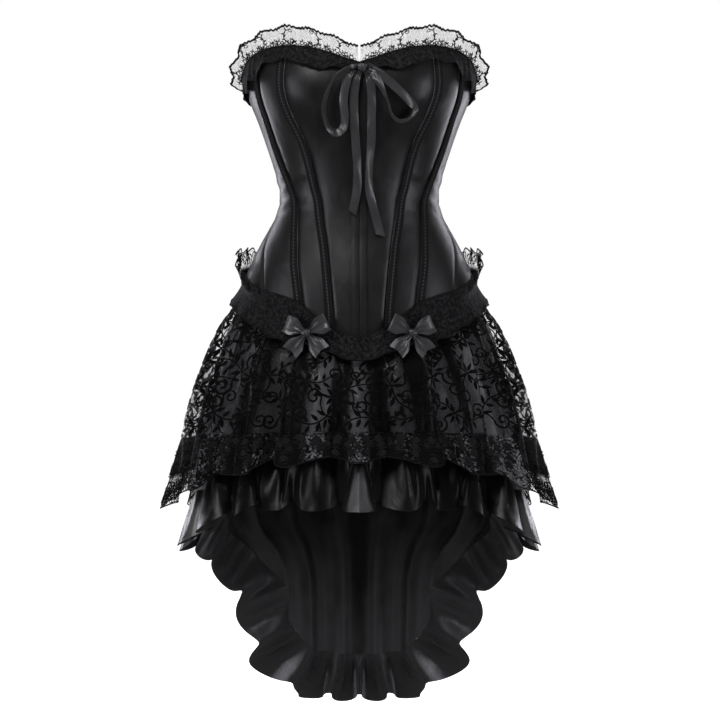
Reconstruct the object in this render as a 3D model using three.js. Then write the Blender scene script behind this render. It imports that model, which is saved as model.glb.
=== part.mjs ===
// A strapless corset dress, worn shape with no wearer: a boned satin corset with a sweetheart neckline,
// lace frills, ribbon bows, a sheer overskirt and a long-backed satin skirt with a ruffle all round.
// Millimetres, +Z up, front towards -Y. The origin is on the garment's axis at the waist.
// Left and right are as seen from the front. Angles run from the centre front, 0, to the centre back, 180.
import * as THREE from "three";

const DEGREE = Math.PI / 180;
const SEAM_GAP = 0.3;

// Cloth thicknesses.
const CORSET_WALL = 2;
const SKIRT_WALL = 1.1;
const LACE_WALL = 1;
const RIBBON_WALL = 1;

// The corset's sections, and the angle of each seam from the centre front.
const BODY = [
  { z: 215, half: 147, front: 98, back: 78, princess: 37.5, sideFront: 57, side: 92, sideBack: 128 },
  { z: 185, half: 151, front: 104, back: 80, princess: 37.5, sideFront: 57, side: 92, sideBack: 128 },
  { z: 155, half: 151, front: 109, back: 82, princess: 37, sideFront: 57.5, side: 92, sideBack: 128 },
  { z: 125, half: 143, front: 111, back: 84, princess: 38, sideFront: 60.5, side: 92, sideBack: 128 },
  { z: 95, half: 131, front: 105, back: 85, princess: 38, sideFront: 62.5, side: 92, sideBack: 128 },
  { z: 65, half: 120.5, front: 95, back: 83, princess: 34.8, sideFront: 63, side: 91, sideBack: 127 },
  { z: 35, half: 111, front: 86, back: 79, princess: 32.8, sideFront: 60.3, side: 90, sideBack: 126 },
  { z: 10, half: 105, front: 80, back: 75, princess: 31.2, sideFront: 55.2, side: 90, sideBack: 125 },
  { z: -8, half: 104.5, front: 79, back: 74.5, princess: 28.3, sideFront: 50.4, side: 89, sideBack: 124 },
  { z: -30, half: 112, front: 81, back: 78, princess: 24.7, sideFront: 45.6, side: 85, sideBack: 122 },
  { z: -60, half: 128, front: 87, back: 87, princess: 19.2, sideFront: 38.6, side: 74, sideBack: 120 },
  { z: -90, half: 142.5, front: 95, back: 98, princess: 15.8, sideFront: 33.8, side: 61, sideBack: 118 },
  { z: -120, half: 154, front: 102, back: 109, princess: 13.5, sideFront: 29.3, side: 54, sideBack: 117 },
  { z: -160, half: 165, front: 108, back: 119, princess: 11.5, sideFront: 25.5, side: 51, sideBack: 116 },
  { z: -205, half: 175, front: 113, back: 127, princess: 10.8, sideFront: 24.5, side: 50, sideBack: 116 },
  { z: -260, half: 183, front: 119, back: 135, princess: 10.5, sideFront: 24, side: 50, sideBack: 116 },
];

// Each cup swells the wall most at its fullest point.
const CUP = { angle: 33, z: 132, lift: 13, spread: 23, rise: 44 };

// The corset's top and bottom edges, and the skirts' seams, as heights at each angle.
const EDGES = [
  { angle: 0, neck: 163, hem: -196, overSeam: -300, overEdge: -333, underSeam: -327 },
  { angle: 8, neck: 170, hem: -189, overSeam: -300, overEdge: -334, underSeam: -327 },
  { angle: 18, neck: 179.5, hem: -175, overSeam: -300, overEdge: -336, underSeam: -327 },
  { angle: 30, neck: 185.5, hem: -161, overSeam: -301, overEdge: -342, underSeam: -328 },
  { angle: 41, neck: 186.5, hem: -151, overSeam: -302, overEdge: -350, underSeam: -333 },
  { angle: 53, neck: 183, hem: -141, overSeam: -304, overEdge: -361, underSeam: -349 },
  { angle: 66, neck: 174, hem: -129, overSeam: -307, overEdge: -374, underSeam: -368 },
  { angle: 79, neck: 158.5, hem: -118, overSeam: -311, overEdge: -386, underSeam: -380 },
  { angle: 92, neck: 145, hem: -110, overSeam: -315, overEdge: -393, underSeam: -388 },
  { angle: 108, neck: 132, hem: -104, overSeam: -318, overEdge: -396, underSeam: -409 },
  { angle: 122, neck: 124, hem: -101, overSeam: -319, overEdge: -398, underSeam: -472 },
  { angle: 136, neck: 118, hem: -103, overSeam: -320, overEdge: -398, underSeam: -556 },
  { angle: 150, neck: 114, hem: -108, overSeam: -320, overEdge: -398, underSeam: -600 },
  { angle: 165, neck: 112, hem: -114, overSeam: -320, overEdge: -398, underSeam: -612 },
  { angle: 180, neck: 111, hem: -118, overSeam: -320, overEdge: -398, underSeam: -615 },
];

// How far the lace stands above its seam on the neckline and on the hem, leans out there, and hangs below the hem.
const FRILLS = [
  { angle: 0, neckRise: 20, neckLean: 4, hemRise: 14, hemFall: 17, hemLean: 0.8 },
  { angle: 8, neckRise: 23, neckLean: 6, hemRise: 15, hemFall: 17, hemLean: 0.8 },
  { angle: 18, neckRise: 24, neckLean: 8, hemRise: 18, hemFall: 19, hemLean: 1 },
  { angle: 30, neckRise: 26, neckLean: 9, hemRise: 26, hemFall: 28, hemLean: 1.5 },
  { angle: 41, neckRise: 25, neckLean: 10, hemRise: 25, hemFall: 26, hemLean: 2 },
  { angle: 53, neckRise: 20, neckLean: 12, hemRise: 22, hemFall: 22, hemLean: 4 },
  { angle: 66, neckRise: 15, neckLean: 14, hemRise: 27, hemFall: 22, hemLean: 9 },
  { angle: 79, neckRise: 8, neckLean: 15, hemRise: 39, hemFall: 23, hemLean: 16 },
  { angle: 92, neckRise: 5, neckLean: 14, hemRise: 44, hemFall: 24, hemLean: 18 },
  { angle: 108, neckRise: 9, neckLean: 12, hemRise: 42, hemFall: 26, hemLean: 17 },
  { angle: 122, neckRise: 14, neckLean: 11, hemRise: 38, hemFall: 28, hemLean: 14 },
  { angle: 136, neckRise: 17, neckLean: 10, hemRise: 34, hemFall: 30, hemLean: 12 },
  { angle: 150, neckRise: 18, neckLean: 10, hemRise: 32, hemFall: 30, hemLean: 10 },
  { angle: 165, neckRise: 18, neckLean: 10, hemRise: 31, hemFall: 30, hemLean: 10 },
  { angle: 180, neckRise: 18, neckLean: 10, hemRise: 30, hemFall: 30, hemLean: 10 },
];

// Skirt sections, measured to the middle of the folds.
const OVERSKIRT = [
  { z: -80, half: 145, front: 95, back: 101 },
  { z: -120, half: 162, front: 104, back: 121 },
  { z: -160, half: 179, front: 113, back: 139 },
  { z: -200, half: 195, front: 124, back: 156 },
  { z: -250, half: 211, front: 143, back: 174 },
  { z: -290, half: 220, front: 156, back: 186 },
  { z: -330, half: 227, front: 166, back: 196 },
];
const UNDERSKIRT = [
  { z: -80, half: 138, front: 88, back: 95 },
  { z: -120, half: 152, front: 97, back: 112 },
  { z: -160, half: 166, front: 105, back: 126 },
  { z: -200, half: 177, front: 115, back: 140 },
  { z: -250, half: 188, front: 131, back: 155 },
  { z: -290, half: 197, front: 142, back: 165 },
  { z: -340, half: 205, front: 152, back: 176 },
  { z: -400, half: 204, front: 158, back: 184 },
  { z: -440, half: 188, front: 158, back: 187 },
  { z: -470, half: 159, front: 158, back: 188 },
  { z: -500, half: 144, front: 158, back: 188 },
  { z: -540, half: 139, front: 158, back: 187 },
  { z: -630, half: 136, front: 158, back: 184 },
];
const FLARE_DROP = 60;
const OVERSKIRT_INSET = CORSET_WALL + 2;
const UNDERSKIRT_INSET = OVERSKIRT_INSET + SKIRT_WALL + 1;
const SKIRT_TUCK = 7;

// Folds fall from the corset's hem and deepen on the way down.
const FOLD = { count: 18, depth: 11, drop: 190, sharpness: 0.28 };

// Frills: how far they reach from their seam, and how far they stand out.
// Lace lies off the corset by this, and farther where it passes over a braid or the placket.
const LACE_LIFT = { bare: 0.6, braided: 2 };
const NECK_FRILL = { fall: 21, hang: 0.3, wave: 3, fallWave: 1.5 };
const HEM_FRILL = { hang: 2, wave: 0.9, hipWave: 3 };
const OVER_LACE = { flare: 0.3, wave: 7, gap: 0.4 };
const RUFFLE = { depth: 62, flare: 0.3, wave: 10, lobe: 0.08, gap: 1.1 };
// Where the seam drops steeply at each side, the ruffle lies closer in.
const CALM = { angle: 117, spread: 12, share: 0.9 };

const PLACKET = { width: 10, lift: 0.6 };
const BRAID = { width: 10, lift: 0.6 };

// The neck bow's ribbons: across, height, how far off the corset, and the turn out of the flat.
const NECK_KNOT = { x: 3.5, z: 156, lift: 9.2, width: 10, height: 10, depth: 10 };
const NECK_RIBBON = { width: 11, tied: 0.5, gather: 1.2 };
const LEFT_LOOP = [
  { x: -2, z: 158.5, lift: 11, turn: 60 },
  { x: -14, z: 152.5, lift: 14.5, turn: 68 },
  { x: -26, z: 143, lift: 14, turn: 72 },
  { x: -36, z: 122, lift: 11.5, turn: 72 },
  { x: -39.5, z: 102, lift: 10.5, turn: 66 },
  { x: -36, z: 84, lift: 11, turn: 50 },
  { x: -27.5, z: 75, lift: 10.5, turn: 30 },
  { x: -19, z: 81, lift: 8, turn: 22 },
  { x: -17, z: 94, lift: 7.5, turn: 20 },
  { x: -18, z: 116, lift: 8.5, turn: 18 },
  { x: -13.5, z: 141, lift: 11.5, turn: 14 },
  { x: -6, z: 152, lift: 11.2, turn: 10 },
];
const RIGHT_LOOP = [
  { x: 9, z: 159.5, lift: 11, turn: 12 },
  { x: 24, z: 147, lift: 13, turn: 10 },
  { x: 41, z: 129, lift: 13, turn: 8 },
  { x: 54, z: 114, lift: 13, turn: 20 },
  { x: 61, z: 104, lift: 12.5, turn: 50 },
  { x: 57.5, z: 93.5, lift: 9.5, turn: 72 },
  { x: 46.5, z: 89.5, lift: 8.5, turn: 76 },
  { x: 37, z: 97, lift: 9, turn: 74 },
  { x: 29.5, z: 119, lift: 11.5, turn: 70 },
  { x: 18.5, z: 143, lift: 15, turn: 30 },
  { x: 9.8, z: 152, lift: 13.5, turn: 16 },
];
const LEFT_TAIL = [
  { x: 0.8, z: 150.7, lift: 8.8, turn: 0 },
  { x: -4, z: 138, lift: 9.5, turn: -4 },
  { x: -6.3, z: 118, lift: 6.5, turn: -8 },
  { x: -6.2, z: 92, lift: 4, turn: 10 },
  { x: -4.2, z: 62, lift: 4, turn: -6 },
  { x: -2.3, z: 34, lift: 4.4, turn: 12 },
  { x: -3, z: 4, lift: 4.8, turn: 4 },
  { x: -9, z: -27, lift: 4, turn: -6 },
];
const RIGHT_TAIL = [
  { x: 7.5, z: 150.5, lift: 8.6, turn: 0 },
  { x: 12.5, z: 138, lift: 9.5, turn: -6 },
  { x: 14.5, z: 118, lift: 6.5, turn: 8 },
  { x: 14.7, z: 92, lift: 4.4, turn: -12 },
  { x: 14.3, z: 62, lift: 4.6, turn: 16 },
  { x: 12.2, z: 34, lift: 5, turn: 30 },
  { x: 12.4, z: 4, lift: 5, turn: 26 },
  { x: 19.5, z: -27, lift: 4, turn: 8 },
  { x: 27, z: -56, lift: 3.6, turn: -4 },
];

// A small bow on the hem: each ribbon leaves the knot at an angle, counted up from the horizontal.
const HEM_BOW = { angle: 21.5, drop: 6, facing: 14, tilt: 4, lift: 11.4, pinch: 7, width: 23, loop: 25, tail: 28, knot: 9, depth: 12.5 };
const HEM_BOW_RIBBONS = [
  { name: "loop_outer", angle: 24, loop: true },
  { name: "loop_inner", angle: 152, loop: true },
  { name: "tail_outer", angle: 310, loop: false },
  { name: "tail_inner", angle: 228, loop: false },
];

const lerp = (a, b, share) => a + (b - a) * share;
const clamp = (value, low, high) => Math.min(high, Math.max(low, value));
const smooth = (share) => {
  const s = clamp(share, 0, 1);
  return s * s * (3 - 2 * s);
};

// Reads a column of a table at a value of its key column, on a smooth curve through the rows.
function read(table, key, at, column) {
  const up = table[1][key] > table[0][key];
  let i = 0;
  while (i < table.length - 2 && (up ? at > table[i + 1][key] : at < table[i + 1][key])) i += 1;
  const [a, b] = [table[i], table[i + 1]];
  const slope = (p, q) => (q[column] - p[column]) / (q[key] - p[key]);
  const span = b[key] - a[key];
  const here = slope(a, b);
  const before = i > 0 ? (here + slope(table[i - 1], a)) / 2 : here;
  const after = i < table.length - 2 ? (here + slope(b, table[i + 2])) / 2 : here;
  const t = (at - a[key]) / span;
  if (t < 0) return a[column] + before * (at - a[key]);
  if (t > 1) return b[column] + after * (at - b[key]);
  const t2 = t * t;
  const t3 = t2 * t;
  return (
    (2 * t3 - 3 * t2 + 1) * a[column] +
    (t3 - 2 * t2 + t) * span * before +
    (3 * t2 - 2 * t3) * b[column] +
    (t3 - t2) * span * after
  );
}

// Angles past the centre back count back down again.
const fromFront = (angle) => 180 - Math.abs(180 - Math.abs(angle));
const edge = (name, angle) => read(EDGES, "angle", fromFront(angle), name);
const frill = (name, angle) => read(FRILLS, "angle", fromFront(angle), name);
const body = (name, z) => read(BODY, "z", z, name);

// A point of an oval section, moved out from it.
function ovalPoint(half, front, back, angle, z, out) {
  const turn = angle * DEGREE;
  const depth = Math.cos(turn) > 0 ? front : back;
  return new THREE.Vector3((half + out) * Math.sin(turn), -(depth + out) * Math.cos(turn), z);
}

function cupLift(angle, z) {
  const across = (fromFront(angle) - CUP.angle) / CUP.spread;
  const along = (z - CUP.z) / CUP.rise;
  return CUP.lift * Math.exp(-across * across - along * along);
}

// A point on the corset's outside, or out from it.
function bodyPoint(angle, z, out = 0) {
  return ovalPoint(body("half", z), body("front", z), body("back", z), angle, z, out + cupLift(angle, z));
}

// How far a fold stands out: broad ridges with narrower grooves between them.
function foldOut(angle, drop) {
  const turn = FOLD.count * angle * DEGREE;
  const uneven = 1 + 0.22 * Math.cos(5 * angle * DEGREE) + 0.14 * Math.cos(11 * angle * DEGREE);
  const wave = Math.cos(turn) - FOLD.sharpness * Math.cos(2 * turn);
  return FOLD.depth * uneven * wave * smooth(drop / FOLD.drop);
}

// A point on a skirt's outside. It leaves the corset's inside at the hem and flares to its own sections.
function skirtPoint(sections, inset, angle, z, out = 0) {
  const drop = edge("hem", angle) - z;
  const share = smooth(drop / FLARE_DROP);
  const size = (name) => lerp(body(name, z) - inset, read(sections, "z", z, name), share);
  return ovalPoint(size("half"), size("front"), size("back"), angle, z, out + foldOut(angle, drop));
}
const overPoint = (angle, z, out) => skirtPoint(OVERSKIRT, OVERSKIRT_INSET, angle, z, out);
const underPoint = (angle, z, out) => skirtPoint(UNDERSKIRT, UNDERSKIRT_INSET, angle, z, out);

// A closed wall on the surface point(across, up), from one distance off it to another.
// across runs with the angle and up runs upwards. Cells for which open is true are left out as gaps.
function wall(point, across, up, from, to, open = () => false) {
  const STEP = 1e-3;
  const positions = [];
  const faces = [];
  for (const off of [to, from]) {
    for (const v of up) {
      for (const u of across) {
        const alongU = point(u + STEP, v).sub(point(u - STEP, v));
        const alongV = point(u, v + STEP).sub(point(u, v - STEP));
        const place = point(u, v).addScaledVector(alongU.cross(alongV).normalize(), off);
        positions.push(place.x, place.y, place.z);
      }
    }
  }
  const [columns, rows] = [across.length - 1, up.length - 1];
  const layer = across.length * up.length;
  const outer = (i, j) => j * across.length + i;
  const inner = (i, j) => layer + outer(i, j);
  const quad = (a, b, c, d) => faces.push(a, b, c, a, c, d);
  const kept = (i, j) => i >= 0 && j >= 0 && i < columns && j < rows && !open(i, j);
  for (let j = 0; j < rows; j += 1) {
    for (let i = 0; i < columns; i += 1) {
      if (!kept(i, j)) continue;
      quad(outer(i, j), outer(i + 1, j), outer(i + 1, j + 1), outer(i, j + 1));
      quad(inner(i, j), inner(i, j + 1), inner(i + 1, j + 1), inner(i + 1, j));
      if (!kept(i, j - 1)) quad(inner(i, j), inner(i + 1, j), outer(i + 1, j), outer(i, j));
      if (!kept(i, j + 1)) quad(outer(i, j + 1), outer(i + 1, j + 1), inner(i + 1, j + 1), inner(i, j + 1));
      if (!kept(i - 1, j)) quad(inner(i, j), outer(i, j), outer(i, j + 1), inner(i, j + 1));
      if (!kept(i + 1, j)) quad(outer(i + 1, j), inner(i + 1, j), inner(i + 1, j + 1), outer(i + 1, j + 1));
    }
  }
  const geometry = new THREE.BufferGeometry();
  geometry.setAttribute("position", new THREE.Float32BufferAttribute(positions, 3));
  geometry.setIndex(faces);
  geometry.computeVertexNormals();
  return geometry;
}

const steps = (from, to, count) => Array.from({ length: count + 1 }, (_, i) => lerp(from, to, i / count));

// Angles that cut a seam, between two angles, into stretches of even length.
function evenAngles(seam, from, to) {
  const SAMPLES = 60;
  const angles = steps(from, to, SAMPLES);
  const run = [0];
  for (let i = 1; i <= SAMPLES; i += 1) run.push(run[i - 1] + seam(angles[i]).distanceTo(seam(angles[i - 1])));
  const total = run[SAMPLES];
  const at = (share) => {
    const want = share * total;
    let i = 1;
    while (i < SAMPLES && run[i] < want) i += 1;
    return lerp(angles[i - 1], angles[i], (want - run[i - 1]) / (run[i] - run[i - 1]));
  };
  return { at, total };
}

// A corset panel between two seams, each a column of BODY or a fixed angle.
function panel(left, right, columns) {
  const ROWS = 12;
  const seam = (name, z) => (typeof name === "number" ? name : body(name, z));
  const point = (u, v) => {
    let [angle, z] = [0, 0];
    for (let turn = 0; turn < 8; turn += 1) {
      const trim = SEAM_GAP / 2 / DEGREE / body("front", z);
      angle = lerp(seam(left, z) + trim, seam(right, z) - trim, u);
      z = lerp(edge("hem", angle), edge("neck", angle), v);
    }
    return bodyPoint(angle, z);
  };
  return wall(point, steps(0, 1, columns), steps(0, 1, ROWS), -CORSET_WALL, 0);
}

// A strip sewn on the corset beside a seam, from one distance across it to another.
function strip(seamAngle, near, far, margin, lift) {
  const ROWS = 12;
  const point = (u, v) => {
    let [angle, z] = [0, 0];
    for (let turn = 0; turn < 8; turn += 1) {
      angle = seamAngle(z) + lerp(near, far, u) / DEGREE / body("half", z);
      z = lerp(edge("hem", angle) + margin, edge("neck", angle) - margin, v);
    }
    return bodyPoint(angle, z);
  };
  return wall(point, [0, 1], steps(0, 1, ROWS), lift, lift + LACE_WALL);
}

const laceLift = (angle, braidedTo) =>
  lerp(LACE_LIFT.braided, LACE_LIFT.bare, smooth((angle - braidedTo) / 8));

// The lace frill along the neckline: it stands above its seam and falls below it.
function neckFrill(from, to, waves, perWave) {
  const seam = (angle) => bodyPoint(angle, edge("neck", angle));
  const { at } = evenAngles(seam, from, to);
  const point = (u, v) => {
    const angle = at(u);
    const wave = Math.cos(2 * Math.PI * waves * u);
    const ripple = (v > 0 ? NECK_FRILL.wave : NECK_FRILL.fallWave) * wave * v * v;
    const rise = frill("neckRise", angle);
    const reach = v > 0 ? rise * v * (1 + 0.05 * wave) : NECK_FRILL.fall * v * (1 - 0.1 * wave);
    const lean = frill("neckLean", angle) * (v > 0 ? v : -NECK_FRILL.hang * v);
    return bodyPoint(angle, edge("neck", angle) + reach, laceLift(angle, 66) + lean + ripple);
  };
  return wall(point, steps(0, 1, waves * perWave), [-1, 0, 0.55, 1], 0, LACE_WALL);
}

// The lace frill along the corset's hem: flat on the front, and standing away over the hips.
function hemFrill(from, to, waves, perWave) {
  const seam = (angle) => bodyPoint(angle, edge("hem", angle));
  const { at } = evenAngles(seam, from, to);
  const point = (u, v) => {
    const angle = at(u);
    const hip = smooth((angle - 58) / 24);
    const wave = Math.cos(2 * Math.PI * waves * u);
    const hem = edge("hem", angle);
    if (v >= 0) {
      const ripple = lerp(HEM_FRILL.wave, HEM_FRILL.hipWave, hip) * (1 + wave) * v * v;
      const lean = frill("hemLean", angle) * v;
      return bodyPoint(angle, hem + frill("hemRise", angle) * v, laceLift(angle, 34) + lean + ripple);
    }
    const hang = OVERSKIRT_INSET + laceLift(angle, 34) - HEM_FRILL.hang * v + HEM_FRILL.wave * (1 + wave) * v * v;
    return overPoint(angle, hem + frill("hemFall", angle) * v * (1 - 0.07 * wave), hang);
  };
  return wall(point, steps(0, 1, waves * perWave), [-1, -0.5, 0, 1], 0, LACE_WALL);
}

// A gore of a skirt between two angles, from its lower seam, 0, to the corset's hem, 1, and inside it, 2.
function gore(surface, seamName, from, to, columns, rows) {
  const trim = SEAM_GAP / 2 / DEGREE / body("front", 0);
  const point = (u, v) => {
    const angle = lerp(from + trim, to - trim, u);
    const hem = edge("hem", angle);
    const z = v < 1 ? lerp(edge(seamName, angle), hem, v) : hem + SKIRT_TUCK * (v - 1);
    return surface(angle, z);
  };
  return wall(point, steps(0, 1, columns), rows, -SKIRT_WALL, 0);
}

// How freely a gathered strip stands out: less where the ruffle lies closer in.
const freedom = (shape, angle) =>
  shape === RUFFLE ? 1 - CALM.share * Math.exp(-(((fromFront(angle) - CALM.angle) / CALM.spread) ** 2)) : 1;

// A gathered strip sewn to a skirt's lower edge. It runs square to the seam and flares with its waves.
function gathered(surface, seamName, shape, depthAt, from, to, waves, perWave, rows, open) {
  const seam = (angle) => surface(angle, edge(seamName, angle), -foldOut(angle, edge("hem", angle) - edge(seamName, angle)));
  const { at, total } = evenAngles(seam, from, to);
  const trim = SEAM_GAP / 2 / total;
  const point = (u, v) => {
    const share = lerp(trim, 1 - trim, u);
    const angle = at(share);
    const along = seam(angle + 0.5).sub(seam(angle - 0.5)).normalize();
    const place = seam(angle);
    const out = new THREE.Vector3(place.x, place.y, 0).normalize();
    out.addScaledVector(along, -out.dot(along)).normalize();
    const down = along.clone().cross(out).negate();
    if (down.z > 0) down.negate();
    const wave = Math.cos(2 * Math.PI * waves * share);
    const reach = (1 - v) * depthAt(angle) * (1 + (shape.lobe ?? 0) * wave);
    const fold = foldOut(angle, edge("hem", angle) - edge(seamName, angle)) * (1 - 0.6 * (1 - v));
    const ripple = shape.wave * wave * (1 - v);
    return place
      .addScaledVector(down, shape.gap + reach)
      .addScaledVector(out, fold + freedom(shape, angle) * (shape.flare * reach + ripple));
  };
  return wall(point, steps(0, 1, waves * perWave), rows, -SKIRT_WALL, 0, open);
}

// A ribbon along a path on the corset's front, as wide as given at each share of its length.
function ribbonOnFront(path, isLoop, alongSteps) {
  const rows = path.map((row, i) => ({ ...row, step: i }));
  const place = (s, across) => {
    const pick = (name) => read(rows, "step", s, name);
    const z = pick("z");
    const angle = Math.asin(clamp(pick("x") / body("half", z), -1, 1)) / DEGREE;
    const centre = bodyPoint(angle, z, pick("lift"));
    return { centre, turn: pick("turn") * DEGREE, across };
  };
  const last = path.length - 1;
  const point = (u, v) => {
    const s = clamp(v, 0, 1) * last;
    const { centre, turn } = place(s, u);
    const ahead = place(Math.min(s + 0.05, last), u).centre.sub(place(Math.max(s - 0.05, 0), u).centre).normalize();
    const out = new THREE.Vector3(0, -1, 0);
    const side = ahead.clone().cross(out).normalize();
    const across = side.multiplyScalar(Math.cos(turn)).addScaledVector(out, Math.sin(turn));
    const fromKnot = isLoop ? Math.min(s, last - s) : s;
    const width = NECK_RIBBON.width * lerp(NECK_RIBBON.tied, 1, smooth(fromKnot / NECK_RIBBON.gather));
    return centre.addScaledVector(across, (u - 0.5) * width).addScaledVector(ahead, (v - clamp(v, 0, 1)) * 100);
  };
  return wall(point, [0, 0.5, 1], steps(0, 1, alongSteps), -RIBBON_WALL / 2, RIBBON_WALL / 2);
}

// A bow's ribbon in the bow's own flat frame: x across, z up and -y towards the viewer.
// A tail runs out from the knot. A loop runs out in front, turns round and comes back behind.
function bowRibbon({ angle, loop }) {
  const FRONT = 3.4;
  const lead = new THREE.Vector3(Math.cos(angle * DEGREE), 0, Math.sin(angle * DEGREE));
  const across = new THREE.Vector3(-lead.z, 0, lead.x);
  const start = HEM_BOW.knot / 2 + 0.3;
  const point = (u, v) => {
    const turn = Math.PI * v;
    const share = loop ? Math.sin(turn) : v;
    const reach = start + (loop ? HEM_BOW.loop : HEM_BOW.tail) * share;
    const depth = loop ? -FRONT * Math.cos(turn) * (0.35 + 0.65 * Math.sin(turn)) : -1 - 1.5 * v;
    const curl = loop ? 0 : 1.4 * Math.cos(2 * Math.PI * u) * v;
    const width = lerp(HEM_BOW.pinch, HEM_BOW.width, smooth(1.6 * share));
    return new THREE.Vector3(0, depth - curl, 0).addScaledVector(lead, reach).addScaledVector(across, (u - 0.5) * width);
  };
  return wall(point, [0, 0.5, 1], steps(0, 1, loop ? 10 : 4), -RIBBON_WALL / 2, RIBBON_WALL / 2);
}

function knot(width, depth, height) {
  return new THREE.SphereGeometry(0.5, 8, 6).scale(width, depth, height);
}

const FINISH = {
  satin: { color: 0x17161a, roughness: 0.38, metalness: 0 },
  lace: { color: 0x101013, roughness: 0.85, metalness: 0 },
  organza: { color: 0x1b1a1e, roughness: 0.6, metalness: 0 },
  braid: { color: 0x0e0d12, roughness: 0.8, metalness: 0 },
  ribbon: { color: 0x24232a, roughness: 0.3, metalness: 0 },
};
const materials = Object.fromEntries(
  Object.entries(FINISH).map(([name, look]) => [name, new THREE.MeshStandardMaterial(look)]),
);

const dress = new THREE.Group();

function add(name, geometry, finish, parent = dress) {
  const mesh = new THREE.Mesh(geometry, materials[finish]);
  mesh.name = name;
  parent.add(mesh);
  return mesh;
}

// The right-hand piece, and the left-hand one as its mirror image.
function addPair(name, geometry, finish) {
  add(`${name}_right`, geometry, finish);
  add(`${name}_left`, geometry, finish).scale.x = -1;
}

function addCorset() {
  addPair("corset_front", panel(0, "princess", 4), "satin");
  addPair("corset_side_front", panel("princess", "sideFront", 3), "satin");
  addPair("corset_side", panel("sideFront", "side", 3), "satin");
  addPair("corset_side_back", panel("side", "sideBack", 6), "satin");
  addPair("corset_back", panel("sideBack", 180, 5), "satin");
  addPair("placket", strip(() => 0, 0.4, PLACKET.width, 3, PLACKET.lift), "satin");
  for (const [name, seam] of [["braid_front", "princess"], ["braid_side", "sideFront"]]) {
    addPair(name, strip((z) => body(seam, z), 0, BRAID.width, 4, BRAID.lift), "braid");
  }
}

function addFrills() {
  addPair("neck_lace_front", neckFrill(0.5, 94, 7, 4), "lace");
  addPair("neck_lace_back", neckFrill(94.4, 179.8, 4, 4), "lace");
  addPair("hem_lace_front", hemFrill(0.3, 60, 5, 4), "lace");
  addPair("hem_lace_back", hemFrill(60.4, 179.8, 8, 4), "lace");
}

function addSkirts() {
  const overRows = [0, 0.45, 0.82, 1, 2];
  const underRows = [0, 0.35, 0.7, 0.9, 1, 2];
  add("skirt_front", gore(underPoint, "underSeam", -60, 60, 36, underRows), "satin");
  addPair("skirt_side", gore(underPoint, "underSeam", 60, 120, 18, underRows), "satin");
  addPair("skirt_back", gore(underPoint, "underSeam", 120, 180, 18, underRows), "satin");
  add("overskirt_front", gore(overPoint, "overSeam", -60, 60, 36, overRows), "organza");
  addPair("overskirt_side", gore(overPoint, "overSeam", 60, 120, 18, overRows), "organza");
  add("overskirt_back", gore(overPoint, "overSeam", 120, 240, 36, overRows), "organza");
}

function addEdges() {
  const laceDepth = (angle) => edge("overSeam", angle) - edge("overEdge", angle);
  const ruffleDepth = () => RUFFLE.depth;
  const laceRows = [0, 0.32, 0.5, 1];
  const laceGap = (i, j) => j === 1 && i % 2 === 1;
  const lace = (from, to, waves, perWave) =>
    gathered(overPoint, "overSeam", OVER_LACE, laceDepth, from, to, waves, perWave, laceRows, laceGap);
  const ruffle = (from, to, waves, perWave) =>
    gathered(underPoint, "underSeam", RUFFLE, ruffleDepth, from, to, waves, perWave, [0, 0.45, 1]);
  add("overskirt_lace_front", lace(-60, 60, 9, 4), "lace");
  addPair("overskirt_lace_side", lace(60, 120, 5, 4), "lace");
  add("overskirt_lace_back", lace(120, 240, 10, 4), "lace");
  addPair("ruffle_front", ruffle(0, 62, 4, 5), "satin");
  addPair("ruffle_side", ruffle(62, 118, 4, 5), "satin");
  addPair("ruffle_back", ruffle(118, 180, 5, 6), "satin");
}

function addNeckBow() {
  add("neck_bow_loop_left", ribbonOnFront(LEFT_LOOP, true, 14), "ribbon");
  add("neck_bow_loop_right", ribbonOnFront(RIGHT_LOOP, true, 14), "ribbon");
  add("neck_bow_tail_left", ribbonOnFront(LEFT_TAIL, false, 8), "ribbon");
  add("neck_bow_tail_right", ribbonOnFront(RIGHT_TAIL, false, 9), "ribbon");
  const tied = add("neck_bow_knot", knot(NECK_KNOT.width, NECK_KNOT.depth, NECK_KNOT.height), "ribbon");
  const angle = Math.asin(NECK_KNOT.x / body("half", NECK_KNOT.z)) / DEGREE;
  tied.position.copy(bodyPoint(angle, NECK_KNOT.z, NECK_KNOT.lift));
}

function addHemBow(side, sign) {
  const seat = new THREE.Group();
  const angle = sign * HEM_BOW.angle;
  seat.position.copy(bodyPoint(angle, edge("hem", angle) - HEM_BOW.drop, HEM_BOW.lift));
  seat.rotation.order = "ZXY";
  seat.rotation.set(-HEM_BOW.tilt * DEGREE, 0, sign * HEM_BOW.facing * DEGREE);
  seat.scale.x = sign;
  dress.add(seat);
  for (const ribbon of HEM_BOW_RIBBONS) {
    add(`hem_bow_${ribbon.name}_${side}`, bowRibbon(ribbon), "ribbon", seat);
  }
  add(`hem_bow_knot_${side}`, knot(HEM_BOW.knot, HEM_BOW.depth, HEM_BOW.knot), "ribbon", seat);
}

addCorset();
addFrills();
addSkirts();
addEdges();
addNeckBow();
addHemBow("right", 1);
addHemBow("left", -1);

export default dress;
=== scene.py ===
# %% [markdown]
# # A corset dress, shown as if worn
# The dress is a boned black satin corset with lace frills, ribbon bows, a sheer flocked overskirt and a
# long-backed satin skirt with a ruffle. Cloth is the whole subject here, so nearly every piece is a sheet.
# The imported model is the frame. It could be dressed by eye, but every sheet here is laid on the same
# surfaces that the frame was cut from, so that nothing needs to be fitted.

import math

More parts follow.
